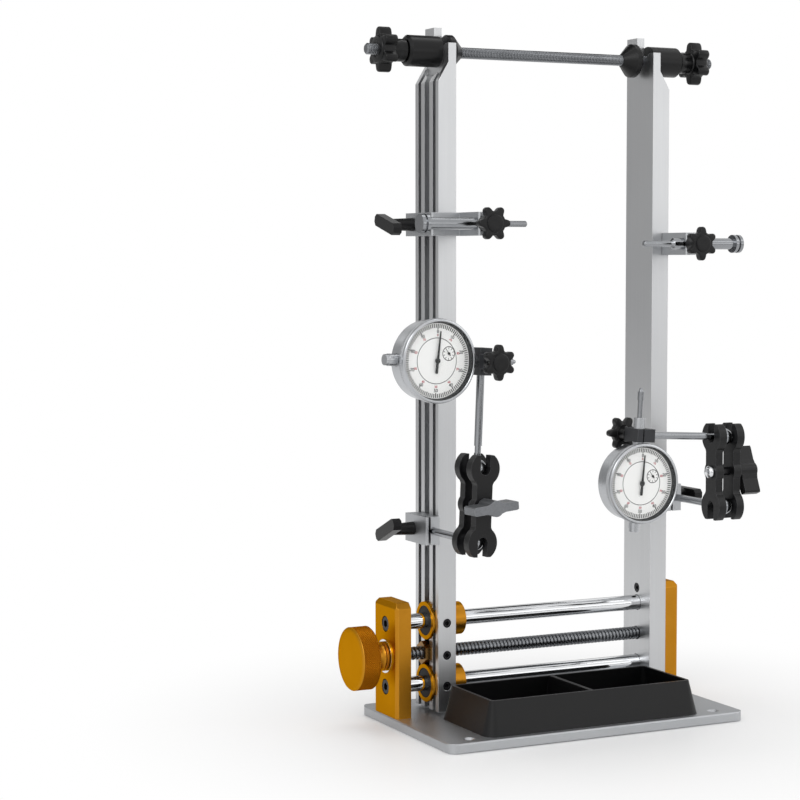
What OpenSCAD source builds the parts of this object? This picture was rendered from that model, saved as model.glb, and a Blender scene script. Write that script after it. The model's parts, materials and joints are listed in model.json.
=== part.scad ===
// Bench-top bicycle wheel truing stand.
// Two grooved aluminium uprights hold the axle in open forks. The right upright is fixed.
// The left one is a carriage: two guide rods carry it and a lead screw, turned by the
// knurled knob, drives it, so the stand takes hubs of any width. Sliding brackets carry
// two pointed feelers, and two ball-jointed arms carry two dial indicators.
// X runs to the right, Y to the back and Z up. The origin is the centre of the base's underside.

/* [Base plate] */
// Length of the base plate from side to side
base_length = 239; // [225:1:320]
// Depth of the base plate from front to back
base_depth = 144; // [142:1:220]
// Thickness of the base plate
base_thick = 7; // [5:0.5:12]
// Radius of the plate's upright corners
base_corner_r = 8; // [2:0.5:12]
// Chamfer along the plate's top and bottom edges
base_edge_chamfer = 0.8; // [0.2:0.1:1.5]
// Diameter of the four bench screw holes
base_hole_d = 4.5; // [3:0.1:6]
// Diameter of their countersinks at the top face
base_sink_d = 8.4; // [7:0.1:11]
// Distance of the screw holes from the plate's sides
base_hole_inset_x = 20; // [14:0.5:30]
// Distance of the screw holes from the plate's front and back
base_hole_inset_y = 11.5; // [8:0.5:13]

/* [End plates] */
// Thickness of each end plate
end_thick = 11.7; // [10:0.1:14]
// Height of the end plates above the base
end_height = 82.5; // [80:0.5:95]
// Distance of an end plate from the side of the base
end_inset = 1; // [0.5:0.1:4]
// Chamfer of the upright edges
end_edge_chamfer = 2; // [0.5:0.1:3]
// Chamfer along the top edges
end_top_chamfer = 4; // [1:0.1:5]

/* [Uprights] */
// Distance of the uprights' centre line behind the middle of the base
rail_y = 32; // [20:0.5:36]
// Thickness of an upright from its plain face to its grooved face
upright_thick = 14; // [13:0.1:16]
// Depth of an upright from front to back
upright_depth = 36.4; // [36:0.1:40]
// Distance of the left upright's plain face from the left end plate
carriage_start = 35.7; // [30:0.1:60]
// Clearance under the left upright
carriage_lift = 2; // [1:0.1:4]
// Thickness of the plain web behind the grooves
web_thick = 6.1; // [5:0.1:7]
// Width of the ribs along the front and back edges
outer_rib_w = 4.5; // [3.5:0.1:5]
// Width of the two plain grooves
groove_w = 4.7; // [3:0.1:5]
// Width of the mouth of the T-slot
slot_mouth_w = 7.7; // [7:0.1:8.5]
// Width of the T-slot behind its lips
slot_inner_w = 11.3; // [10:0.1:12]
// Thickness of the lips of the T-slot
slot_lip = 2.6; // [2:0.1:3]
// Height of the wheel axle above the base plate
axle_rise = 472.1; // [420:0.5:560]
// Width of the open fork that takes the axle
fork_w = 8.4; // [8.2:0.1:10]
// Height of the front prong above the axle
front_prong_rise = 5; // [4.6:0.1:9]
// Height of the back prong above the axle
back_prong_rise = 17.5; // [12:0.1:24]
// Length of the slanted lead-in on the front prong
mouth_run = 9.3; // [6:0.1:11]
// Radius of the round pocket milled in the ribs for the axle sleeve
pocket_r = 17.8; // [14:0.1:18]
// Distance of the ribs' slanted ends below the axle, at the grooved face
rib_end_low = 21.8; // [20:0.1:30]
// Distance of the ribs' slanted ends below the axle, at the web
rib_end_high = 8.5; // [7:0.1:12]

/* [Guide rods and lead screw] */
// Diameter of the two guide rods
rod_d = 11.2; // [10:0.1:11.6]
// Height of the lower guide rod above the base plate
rod_low_rise = 20.4; // [19:0.1:21]
// Height of the lead screw above the base plate
screw_rise = 42.6; // [41:0.1:44]
// Height of the upper guide rod above the base plate
rod_high_rise = 65.8; // [65:0.1:68]
// Outside diameter of the lead screw
screw_d = 9.6; // [9:0.1:10.4]
// Diameter of the plain journals at its ends
journal_d = 8; // [7:0.1:8.4]
// Diameter of the adjusting knob
adjust_knob_d = 45.2; // [36:0.1:46]
// Length of the knob's gripping rim
adjust_rim_w = 14; // [9:0.1:16]
// Length of the whole knob
adjust_knob_len = 26; // [22:0.1:32]
// Diameter of the knob's waist
adjust_waist_d = 17; // [14:0.1:20]
// Diameter of the knob's hub next to the bearing
adjust_hub_d = 21; // [19:0.1:22]
// Outside diameter of the bearing ring
bearing_d = 24; // [23:0.1:26]

/* [Carriage] */
// Diameter of a bush's flange
bush_flange_d = 27.3; // [26:0.1:29]
// Distance that the flange stands out of the upright
bush_flange_w = 2; // [1.5:0.1:3]
// Diameter of a bush's barrel
bush_barrel_d = 23.7; // [22:0.1:24.5]
// Distance that the barrel stands out of the plain face
bush_barrel_out = 11.9; // [8:0.1:14]
// Diameter of the seal's seat in a bush
seal_d = 21.6; // [19:0.1:22]
// Depth of the seal's seat
seal_w = 2.4; // [2:0.1:3]
// Width across the flats of the lead-screw nut
nut_flats = 14.8; // [14:0.1:15.4]
// Length of the nut's hexagon
nut_hex_w = 4.6; // [3.5:0.1:6]
// Diameter of the nut's shank in the upright
nut_shank_d = 13; // [12:0.1:13.4]
// Diameter of the set screws in the front of the carriage
set_screw_d = 6.4; // [5:0.1:7]

/* [Axle] */
// Diameter of the axle rod
axle_d = 8; // [7.8:0.1:8.2]
// Distance that the rod stands out past the left knob
axle_out_left = 8.1; // [8.1:0.1:14]
// Distance that the rod stands out past the right knob
axle_out_right = 8; // [4:0.1:14]
// Diameter of the centring cones
cone_d = 24.5; // [22:0.1:26]
// Length of a cone's plain collar
cone_collar_w = 4.5; // [3:0.1:6]
// Diameter of a cone's small end
cone_tip_d = 8.9; // [8.8:0.1:10]
// Gap between the right upright and its cone's collar
right_cone_gap = 4.6; // [0.5:0.1:8]
// Diameter of the sleeves outside the forks
sleeve_d = 22; // [20:0.1:24]
// Length of a sleeve
sleeve_len = 25.5; // [16:0.1:28]
// Diameter of an axle knob's neck
axle_neck_d = 16; // [14:0.1:18]
// Length of the neck
axle_neck_len = 11; // [9:0.1:16]
// Diameter of an axle knob over its lobes
axle_knob_d = 31.7; // [28:0.1:34]
// Length of an axle knob's lobed head
axle_head_w = 10.8; // [8:0.1:14]

/* [Feelers] */
// Height of the left feeler bracket above the bench
left_feeler_z = 356.9; // [320:0.5:400]
// Height of the right feeler bracket above the bench
right_feeler_z = 343.4; // [320:0.5:400]
// Height of a feeler bracket
bracket_h = 16.3; // [14:0.1:20]
// Thickness of the bracket's block and front plate
bracket_thick = 11; // [9:0.1:12]
// Thickness of the bracket's leg
leg_thick = 8.7; // [8:0.1:10]
// Distance that the left leg reaches in past its upright's plain face
left_leg_in = 4.9; // [3:0.1:8]
// Distance of the right leg outside its upright's plain face
right_leg_out = 8.4; // [6:0.1:10]
// Distance that the left leg reaches in front of the front plate
left_leg_reach = 29.4; // [24:0.1:34]
// Distance that the right leg reaches in front of the front plate
right_leg_reach = 20.5; // [20:0.1:30]
// Diameter of a feeler's shank
pin_d = 8.3; // [7:0.1:9]
// Diameter of a feeler's thin end
pin_tip_d = 4.3; // [3:0.1:5]
// Length of the thin end
pin_tip_len = 23; // [15:0.5:26]
// Length of a feeler from its tip to the back of its head
pin_len = 83.5; // [76:0.5:100]
// Diameter of a feeler's head
pin_head_d = 13.3; // [11:0.1:15]
// Length of the head
pin_head_w = 6.3; // [5:0.1:8]
// Distance that the left feeler stands in past its leg
left_pin_out = 31.3; // [28:0.1:38]
// Distance that the right feeler stands in past its leg
right_pin_out = 33.9; // [28:0.1:38]
// Diameter of the feeler knobs over their lobes
small_knob_d = 24.5; // [21:0.1:26]
// Length of a small knob's lobed head
small_head_w = 7; // [5:0.1:9]
// Length of a small knob from its seat to its face
small_knob_len = 16.6; // [13:0.1:19]

/* [Clamp screws] */
// Length of a T-handle's bar
tee_bar_len = 32; // [24:0.5:36]
// Width of the bar
tee_bar_w = 8.5; // [7:0.1:10]
// Thickness of the bar
tee_bar_t = 6.5; // [5:0.1:8]
// Length of the handle's tapered stem
tee_stem_len = 16; // [12:0.1:20]
// Diameter of the stem at the block
tee_stem_d = 9.5; // [8.5:0.1:11]
// Diameter of the stem at the bar
tee_neck_d = 8; // [7:0.1:8.4]
// Diameter of the clamp screws
clamp_screw_d = 6; // [5:0.1:6.4]

/* [Ball-jointed arms] */
// Height of the left arm block's centre above the bench
left_arm_z = 140.2; // [132:0.5:160]
// Height of the right arm block's centre above the bench
right_arm_z = 153.8; // [140:0.5:170]
// Height of an arm block
arm_block_h = 20; // [16:0.1:22]
// Depth of an arm block from front to back
arm_block_depth = 33; // [31:0.1:36]
// Thickness of an arm block
arm_block_thick = 11; // [10:0.1:13]
// Distance of the block's front in front of the uprights' centre line
arm_block_front = 20.9; // [19:0.1:22]
// Width of the saw cut in the block
saw_cut_w = 1.8; // [1:0.1:2]
// Distance of the lower balls in front of the uprights' centre line
ball_reach = 82.3; // [76:0.5:95]
// Diameter of the ball rods
ball_rod_d = 5.3; // [5:0.1:5.6]
// Diameter of the rods' necks behind the balls
ball_neck_d = 4.3; // [3.6:0.1:4.6]
// Diameter of the balls
ball_d = 12.6; // [12:0.1:13]
// Distance between the two balls of an arm
ball_pitch = 50.5; // [44:0.5:60]
// Thickness of an arm plate
plate_thick = 6.1; // [5:0.1:7]
// Gap between the two plates of an arm
plate_gap = 9.1; // [8.8:0.1:9.6]
// Diameter of a plate's round ends
plate_lobe_d = 23; // [21:0.1:24]
// Overall length of a plate
plate_len = 69.4; // [68:0.1:80]
// Width of a plate's waist
plate_waist_w = 12.5; // [10:0.1:14]
// Diameter of the boss round the bolt
plate_boss_d = 15.8; // [15:0.1:17]
// Width of the open slots at a plate's ends
plate_slot_w = 7.6; // [7:0.1:8]
// Diameter of the arm's bolt
arm_bolt_d = 6; // [5:0.1:6.4]
// Diameter of the arm lever's hub
lever_hub_d = 11.1; // [10:0.1:12]
// Length of the lever from tip to tip
lever_len = 35.4; // [26:0.1:38]
// Depth of the lever along the bolt
lever_deep = 13; // [10:0.1:14]
// Thickness of the lever's wings
lever_wing_t = 6; // [4:0.1:7]
// Distance of the lever's face from the plate
lever_face = 15.8; // [14.4:0.1:18]
// Lean of the left arm towards the wheel, in degrees
left_arm_lean = 2.3; // [0:0.1:4]
// Turn of the left arm about its height, in degrees
left_arm_turn = 4.5; // [0:0.1:6]
// Tilt of the right arm's upper rod, in degrees
right_rod_tilt = 3; // [0:0.1:5]
// Height of the left dial clamp above its arm's upper ball
left_clamp_rise = 72.7; // [66:0.1:84]
// Distance of the right dial clamp from its arm's upper ball
right_clamp_run = 72; // [66:0.1:84]

/* [Dial clamps] */
// Width of a dial clamp's block, square to its rod
clamp_w = 9.3; // [8.8:0.1:11]
// Depth of the block along the knob's axis
clamp_deep = 13; // [12:0.1:15]
// Length of the left clamp's block past the dial's stem
left_clamp_past = 9.3; // [5:0.1:11]
// Length of the right clamp's block past the dial's stem
right_clamp_past = 4.9; // [4.7:0.1:9]
// Length of a clamp's block before the dial's stem
clamp_before = 9.4; // [9.2:0.1:14]
// Distance of the clamp knob's face from the dial's stem
clamp_knob_face = 25.9; // [21:0.1:28]
// Side of the square spacer under the clamp knob
spacer_w = 10; // [9:0.1:12]
// Length of that spacer
spacer_len = 4.6; // [3:0.1:5]

/* [Dial indicators] */
// Outside diameter of the bezel
bezel_d = 57; // [54:0.5:58]
// Diameter of the case
case_d = 54; // [50:0.5:55]
// Distance of the stem's axis behind the bezel's front
bezel_front = 10.9; // [9.4:0.1:12]
// Distance of the case's back behind the stem's axis
case_back = 10; // [7:0.1:12]
// Distance of the stem's axis behind the bezel's back
bezel_behind = 4.5; // [4.5:0.1:5]
// Diameter of the dial's stem
stem_d = 8; // [7:0.1:8.4]
// Distance of the stem's end from the dial's centre
stem_reach = 45.9; // [44.4:0.1:50]
// Distance of the contact point from the dial's centre, with the spindle out
point_reach = 67.2; // [64:0.1:74]
// Diameter of the spindle
spindle_d = 3.8; // [3.4:0.1:5]
// Distance of the left dial's centre from its clamp
left_dial_off = 39.2; // [38:0.1:41]
// Distance of the right dial's centre from its clamp
right_dial_off = 33.6; // [33.5:0.1:36]
// Reach of the left dial's dust cap from the dial's centre
left_cap_reach = 36.8; // [36:0.1:44]
// Reach of the right dial's dust cap from the dial's centre
right_cap_reach = 35; // [34:0.1:40]
// Diameter of a dust cap
cap_d = 8.3; // [7.6:0.1:8.4]

/* [Parts tray] */
// Length of the tray at the bench
tray_length = 174; // [140:1:180]
// Depth of the tray at the bench
tray_depth = 72.6; // [60:0.5:76]
// Height of the tray
tray_height = 24; // [16:0.5:30]
// Inward slope of the tray's sides over its height
tray_draft = 6; // [2:0.1:7]
// Thickness of the tray's walls
tray_wall = 2.6; // [2:0.1:4]
// Thickness of the tray's floor
tray_floor = 2.4; // [2:0.1:4]
// Thickness of the divider between the two compartments
tray_divider = 3; // [2:0.1:5]
// Radius of the tray's upright corners
tray_corner_r = 9; // [4:0.5:11]

/* [Hidden] */
$fn = 64;

// Clearances
run_fit = 0.05;
slide_gap = 0.3;
loose_fit = 0.25;
over = 1;

// Colours
anodised_gold = "#d98f2b";
satin_aluminium = "#c3c5c8";
polished_steel = "#dfe1e4";
blackened = "#26272a";
bronze = "#8a6a3c";
charcoal = "#3a3b3e";
dial_white = "#f2f1ec";

// Heights and places worked out from the driving sizes
base_top = base_thick;
axle_z = base_top + axle_rise;
rod_low_z = base_top + rod_low_rise;
rod_high_z = base_top + rod_high_rise;
screw_z = base_top + screw_rise;
end_outer_x = base_length / 2 - end_inset;
end_inner_x = end_outer_x - end_thick;
right_face_x = end_inner_x - upright_thick;
left_face_x = -end_inner_x + carriage_start;
carriage_gap = right_face_x - left_face_x;
upright_half = upright_depth / 2;
front_y = rail_y - upright_half;
groove_depth = upright_thick - web_thick;
mouth_low_share = 0.1;

// End plate screws run along the guide rods
rod_seat = 3.5;
rod_screw_head_d = 10.2;
rod_screw_sink_d = 11.4;
rod_screw_head_w = 5;
rod_screw_d = 6;
rod_screw_grip = 12;
rod_screw_socket = 5;
socket_share = 0.6;
thread_share = 0.8;
set_hole_share = 0.25;
rod_half = end_inner_x + rod_seat;
head_seat = end_thick - rod_screw_head_w - loose_fit;

// Screws that hold the right upright to its end plate, and the end plates to the base
face_screw_high = 77;
face_screw_low = 8;
face_screw_z = [base_top + face_screw_high, base_top + face_screw_low];
face_screw_head_d = 6.8;
face_screw_head_w = 3.4;
face_screw_d = 4;
face_screw_len = 10;
face_screw_socket = 3;
foot_screw_d = 5;
foot_screw_head_d = 9.2;
foot_screw_len = 14;
foot_screw_socket = 3;
foot_screw_spread = 22;

// Flanged bearing of the lead screw in the left end plate
bearing_flange_w = 0.9;
bearing_shank_d = 14;
bearing_rim_d = adjust_hub_d + loose_fit * 2;

// Lead screw and adjusting knob
knob_seat_x = -end_outer_x - bearing_flange_w - slide_gap;
knob_face_x = knob_seat_x - adjust_knob_len;
journal_end_share = 0.6;
screw_end_x = end_inner_x + end_thick * journal_end_share;
screw_thread_x = end_inner_x - slide_gap;
knob_bore_depth = adjust_knob_len - adjust_rim_w / 2;
knob_rim_chamfer = 1.2;
waist_place_share = 0.5;
waist_run_share = 0.16;

// Parts of the axle in the forks
left_web_x = left_face_x - web_thick;
right_web_x = right_face_x + web_thick;
cone_slope = (cone_d - cone_tip_d) / 2;
axle_knob_len = axle_neck_len + axle_head_w;
left_knob_x = left_web_x - sleeve_len;
right_knob_x = right_web_x + sleeve_len;
axle_left_x = left_knob_x - slide_gap - axle_knob_len - axle_out_left;
axle_right_x = right_knob_x + slide_gap + axle_knob_len + axle_out_right;
axle_chamfer_share = 0.25;
cone_step_share = 0.2;
sleeve_chamfer_share = 0.07;
knob_step_share = 0.1;
knob_face_share = 0.3;
knob_lobes = 6;
lobe_share = 0.11;
hollow_share = 0.19;
hollow_place_share = 1.1;
knob_disc_share = 0.345;
half_lobe = 180 / knob_lobes;
small_hub_share = 0.26;
small_cap_share = 0.14;
hub_taper_share = 0.86;
small_stem_share = 0.8;

// Feelers: the outboard face of a block rides slide_gap off the grooved face
block_in = upright_thick + slide_gap;
block_out = block_in + bracket_thick;
bracket_back_share = 0.327;
front_plate_share = 1.07;
bracket_back = upright_depth * bracket_back_share;
plate_back_y = front_y - slide_gap;
plate_front_y = plate_back_y - bracket_thick * front_plate_share;
left_leg_front = plate_front_y - left_leg_reach;
right_leg_front = plate_front_y - right_leg_reach;
pin_setback = 5;
left_leg_x = -left_leg_in;
right_leg_x = right_leg_out;
left_pin_y = left_leg_front + pin_setback - rail_y;
right_pin_y = right_leg_front + pin_setback - rail_y;
knob_reach = pin_setback - pin_d / 2 - slide_gap;
pin_shoulder = 2;
tip_round_share = 0.35;
pin_groove_share = 0.12;
bracket_edge_share = 0.09;

// T-nuts in the uprights' slots
nut_plate_w = slot_inner_w - slide_gap * 2;
nut_neck_w = slot_mouth_w - slide_gap * 2;
nut_plate_in = web_thick + slide_gap;
nut_lip_x = upright_thick - slot_lip;
nut_share = 0.85;

// T-handles
tee_tilt_upper = 15;
tee_tilt_lower = -23;
tee_cut_share = 0.28;

// Arms
arm_block_out = block_in + arm_block_thick;
rod_in_block_share = 0.56;
saw_cut_share = 0.27;
saw_cut_depth = 14;
rod_grip_share = 0.42;
rod_grip = arm_block_depth * rod_grip_share;
lower_rod_len = ball_reach - arm_block_front + rod_grip - over;
left_block_x = left_face_x - arm_block_out;
right_block_x = right_face_x + block_in;
ball_y = rail_y - ball_reach;
left_ball_x = left_block_x + rod_in_block_share * arm_block_thick;
right_ball_x = right_block_x + rod_in_block_share * arm_block_thick;
left_ball = [left_ball_x, ball_y, left_arm_z];
right_ball = [right_ball_x, ball_y, right_arm_z];
plate_outer = plate_gap / 2 + plate_thick;
neck_len = plate_outer + plate_gap / 2;
arm_fillet = 7;
slot_ease = 0.2;
bolt_head_d = 9;
bolt_head_w = 3;
lever_tilt_left = 7;
lever_tilt_right = 22;
wing_root_share = 1.3;
wing_tip_share = 0.8;
hub_flat_share = 0.9;
bolt_dome_share = 0.76;
stem_stop_gap = 1.4;
stem_stop = stem_d / 2 + stem_stop_gap;

// Dial clamps
clamp_screw_m = 4;
clamp_hole_r = clamp_screw_m / 2 + loose_fit;
clamp_knob_reach = clamp_deep / 2 + spacer_len - stem_d / 2 - slide_gap;
slit_start_share = 0.1;
clamp_knob_len = clamp_knob_face - clamp_deep / 2 - spacer_len;
clamp_slit = 1.2;

// Dial indicator
dial_front = -bezel_front;
bezel_back = -bezel_behind;
case_r = case_d / 2;
bezel_r = bezel_d / 2;
bezel_lip = 0.6;
bezel_wall = 1.5;
bezel_edge = 1;
crystal_t = 0.8;
crystal_set = 0.9;
crystal_r = bezel_r - bezel_wall;
case_neck_in = 1.8;
case_edge = 1;
case_back_edge = 2.4;
neck_r = case_r - case_neck_in;
face_r = neck_r + run_fit;
face_t = 0.8;
face_deep = 4.4;
face_front = dial_front + face_deep;
case_front = face_front + face_t;
needle_share = 0.76;
needle_tail_share = 0.34;
needle_r = face_r * needle_share;
needle_tail = face_r * needle_tail_share;
needle_w = 1.1;
needle_point_share = 0.33;
needle_tail_w_share = 1.6;
small_base_share = 0.67;
small_needle_hub_share = 0.45;
needle_t = 0.4;
needle_hub_r = 1.9;
needle_lift = 1.5;
sub_dial_shares = [0.36, 0.2];
scale_share = 0.62;
small_needle_share = 0.13;
sub_dial = face_r * sub_dial_shares;
scale_r = face_r * scale_share;
small_needle_r = face_r * small_needle_share;
arbor_d = 1.2;
arbor_depth = 1.6;
arbor_gap = 0.2;
arbor_hole_r = arbor_d / 2 + arbor_gap;
left_needle_turn = 4.7;
right_needle_turn = 3;
small_needle_turn = -40;
cap_hex_d = 9;
cap_seat = 1.2;
cap_top_w = 3;
cap_top_in = 0.4;
cap_step = 1.2;
cap_hex_w = 2.64;
stem_neck_w = 2.88;
stem_neck_d = 2 * (bezel_behind - slide_gap);
point_d = 4.6;
point_w = 4;
point_tip_r = 1.4;
point_collar_in = 8.8;
point_collar_w = 6;
spindle_bore = spindle_d + run_fit * 2;
spindle_travel = 10;

// Parts tray
tray_gap_share = 0.64;
tray_off_share = 0.072;
tray_x = (right_face_x + left_face_x) / 2 - carriage_gap * tray_off_share;

// A cylinder along X, starting at x
module bar_x(x, len, r1, r2) {
    translate([x, 0, 0]) rotate([0, 90, 0]) cylinder(h = len, r1 = r1, r2 = r2);
}

// A cylinder along Y, starting at y
module bar_y(y, len, r1, r2) {
    translate([0, y, 0]) rotate([-90, 0, 0]) cylinder(h = len, r1 = r1, r2 = r2);
}

// A plate lying flat, with its corners rounded and its edges chamfered
module rounded_plate(length, depth, thick, corner, chamfer) {
    intersection() {
        linear_extrude(height = thick) rounded_rect(length, depth, corner);
        translate([0, depth / 2, 0]) rotate([90, 0, 0])
            linear_extrude(height = depth) chamfered_bar(length, thick, chamfer);
        translate([-length / 2, 0, 0]) rotate([90, 0, 90])
            linear_extrude(height = length) chamfered_bar(depth, thick, chamfer);
    }
}

// A rectangle centred on the origin with round corners
module rounded_rect(length, depth, corner) {
    square([length - 2 * corner, depth], center = true);
    square([length, depth - 2 * corner], center = true);
    for (sx = [-1, 1], sy = [-1, 1])
        translate([sx * (length / 2 - corner), sy * (depth / 2 - corner)]) circle(r = corner);
}

// The cross-section of a plate with chamfered edges
module chamfered_bar(width, thick, chamfer) {
    polygon([
        [-width / 2 + chamfer, 0], [width / 2 - chamfer, 0], [width / 2, chamfer],
        [width / 2, thick - chamfer], [width / 2 - chamfer, thick],
        [-width / 2 + chamfer, thick], [-width / 2, thick - chamfer], [-width / 2, chamfer]
    ]);
}

// Outline of a star knob: round lobes joined by round hollows
module star_outline(d, lobes) {
    lobe_r = d * lobe_share;
    lobe_c = d / 2 - lobe_r;
    hollow_c = d / 2 * hollow_place_share;
    hollow_r = d * hollow_share;
    difference() {
        union() {
            circle(r = d * knob_disc_share);
            for (i = [0 : lobes - 1]) rotate(i * 360 / lobes) {
                translate([lobe_c, 0]) circle(r = lobe_r);
                translate([0, -lobe_r]) square([lobe_c, 2 * lobe_r]);
            }
        }
        for (i = [0 : lobes - 1])
            rotate((i + 0.5) * 360 / lobes) translate([hollow_c, 0]) circle(r = hollow_r);
    }
}

// The outline of a rod-end socket cut, for a hexagon key
module hex_socket(flats, depth) {
    cylinder(h = depth, r = flats / sqrt(3), $fn = 6);
}

// Base plate, lying flat
module base_plate() {
    color(satin_aluminium) difference() {
        rounded_plate(base_length, base_depth, base_thick, base_corner_r, base_edge_chamfer);
        for (sx = [-1, 1], sy = [-1, 1])
            translate([
                sx * (base_length / 2 - base_hole_inset_x),
                sy * (base_depth / 2 - base_hole_inset_y), 0
            ]) {
                translate([0, 0, -over]) cylinder(h = base_thick + 2 * over, r = base_hole_d / 2);
                sink = (base_sink_d - base_hole_d) / 2;
                translate([0, 0, base_thick - sink])
                    cylinder(h = sink + over, r1 = base_hole_d / 2, r2 = base_sink_d / 2 + over);
            }
        for (side = [-1, 1], k = [-1, 1]) foot_screw_place(side, k) {
            translate([0, 0, -over])
                cylinder(h = base_thick + 2 * over, r = foot_screw_d / 2 + loose_fit);
            sink = (foot_screw_head_d - foot_screw_d) / 2;
            translate([0, 0, -over])
                cylinder(h = sink + over, r1 = foot_screw_head_d / 2 + over + loose_fit,
                    r2 = foot_screw_d / 2 + loose_fit);
        }
    }
}

module foot_screw_place(side, k) {
    translate([side * (end_outer_x - end_thick / 2), rail_y + k * foot_screw_spread / 2, 0]) children();
}

// End plate as the right one stands; its outer face looks along +X
module end_plate(bearing) {
    difference() {
        intersection() {
            translate([end_inner_x, rail_y, base_top]) {
                rotate([90, 0, 90]) linear_extrude(height = end_thick) polygon([
                    [-upright_half, 0], [upright_half, 0],
                    [upright_half, end_height - end_top_chamfer],
                    [upright_half - end_top_chamfer, end_height],
                    [-upright_half + end_top_chamfer, end_height],
                    [-upright_half, end_height - end_top_chamfer]
                ]);
            }
            translate([end_inner_x, rail_y, base_top]) {
                c = end_edge_chamfer;
                linear_extrude(height = end_height) polygon([
                    [0, -upright_half], [end_thick - c, -upright_half], [end_thick, -upright_half + c],
                    [end_thick, upright_half - c], [end_thick - c, upright_half], [0, upright_half]
                ]);
            }
            translate([0, rail_y + upright_half, base_top]) rotate([90, 0, 0])
                linear_extrude(height = upright_depth) polygon([
                    [end_inner_x, 0], [end_outer_x, 0], [end_outer_x, end_height - end_top_chamfer],
                    [end_outer_x - end_top_chamfer / 2, end_height], [end_inner_x, end_height]
                ]);
        }
        for (z = [rod_low_z, rod_high_z]) translate([0, rail_y, z]) {
            bar_x(end_inner_x - over, rod_seat + over, rod_d / 2 + run_fit, rod_d / 2 + run_fit);
            bar_x(end_inner_x, end_thick, rod_screw_d / 2 + loose_fit, rod_screw_d / 2 + loose_fit);
            bar_x(end_inner_x + head_seat, end_thick, rod_screw_sink_d / 2, rod_screw_sink_d / 2);
        }
        translate([0, rail_y, screw_z]) {
            if (bearing) bar_x(end_inner_x - over, end_thick + 2 * over,
                bearing_shank_d / 2 + run_fit, bearing_shank_d / 2 + run_fit);
            else bar_x(end_inner_x - over, screw_end_x - end_inner_x + over + slide_gap,
                journal_d / 2 + run_fit, journal_d / 2 + run_fit);
        }
        if (!bearing) for (z = face_screw_z) translate([0, rail_y, z])
            bar_x(end_inner_x - over, face_screw_len,
                face_screw_d / 2 + run_fit, face_screw_d / 2 + run_fit);
        for (k = [-1, 1]) foot_screw_place(1, k)
            cylinder(h = foot_screw_len + slide_gap, r = foot_screw_d / 2 + run_fit);
    }
}

module left_end_plate() {
    color(anodised_gold) mirror([1, 0, 0]) end_plate(true);
}

module right_end_plate() {
    color(anodised_gold) end_plate(false);
}

// The two guide rods, with tapped ends
module guide_rods() {
    color(polished_steel) for (z = [rod_low_z, rod_high_z]) translate([0, rail_y, z]) difference() {
        bar_x(-rod_half, 2 * rod_half, rod_d / 2, rod_d / 2);
        for (m = [0, 1]) mirror([m, 0, 0])
            bar_x(rod_half - rod_screw_grip, rod_screw_grip + over,
                rod_screw_d / 2 + run_fit, rod_screw_d / 2 + run_fit);
    }
}

// A socket-head screw along X, with its head's outer face at x and its shank towards -X
module cap_screw_x(x, head_d, head_w, d, len, socket) {
    difference() {
        union() {
            bar_x(x - head_w, head_w, head_d / 2, head_d / 2);
            bar_x(x - head_w - len, len + over / 2, d / 2, d / 2);
        }
        translate([x - head_w * socket_share, 0, 0]) rotate([0, 90, 0]) hex_socket(socket, head_w);
    }
}

// Screws of the frame: in the rod ends, in the right upright and under the base
module frame_screws() {
    color(charcoal) {
        for (m = [0, 1], z = [rod_low_z, rod_high_z]) mirror([m, 0, 0]) translate([0, rail_y, z])
            cap_screw_x(end_outer_x - loose_fit, rod_screw_head_d, rod_screw_head_w, rod_screw_d,
                head_seat - rod_seat + rod_screw_grip * thread_share, rod_screw_socket);
        for (z = face_screw_z) translate([right_face_x, rail_y, z]) mirror([1, 0, 0])
            cap_screw_x(-slide_gap, face_screw_head_d, face_screw_head_w,
                face_screw_d, upright_thick - face_screw_head_w + face_screw_len * thread_share,
                face_screw_socket);
        for (side = [-1, 1], k = [-1, 1]) foot_screw_place(side, k) {
            sink = (foot_screw_head_d - foot_screw_d) / 2;
            difference() {
                union() {
                    translate([0, 0, loose_fit])
                        cylinder(h = sink, r1 = foot_screw_head_d / 2, r2 = foot_screw_d / 2);
                    translate([0, 0, loose_fit]) cylinder(h = foot_screw_len, r = foot_screw_d / 2);
                }
                translate([0, 0, -over]) hex_socket(foot_screw_socket, sink + over);
            }
        }
    }
}

// Flanged bearing ring round the knob's hub, pressed in the left end plate
module screw_bearing() {
    color(polished_steel) translate([-end_outer_x, rail_y, screw_z]) difference() {
        union() {
            bar_x(-bearing_flange_w, bearing_flange_w, bearing_d / 2, bearing_d / 2);
            bar_x(-over / 2, end_thick + over / 2, bearing_shank_d / 2, bearing_shank_d / 2);
        }
        bar_x(-bearing_flange_w - over, end_thick + bearing_flange_w + 2 * over,
            journal_d / 2 + run_fit, journal_d / 2 + run_fit);
    }
}

// Cross-section of an upright, x outwards from the plain face and y from its centre line
module upright_section() {
    difference() {
        translate([0, -upright_half]) square([upright_thick, upright_depth]);
        for (s = [-1, 1]) {
            y_out = s * (upright_half - outer_rib_w);
            y_in = s * (upright_half - outer_rib_w - groove_w);
            translate([web_thick, min(y_out, y_in)]) square([groove_depth + over, groove_w]);
        }
        translate([web_thick, -slot_inner_w / 2]) square([groove_depth - slot_lip, slot_inner_w]);
        translate([web_thick, -slot_mouth_w / 2]) square([groove_depth + over, slot_mouth_w]);
    }
}

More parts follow.
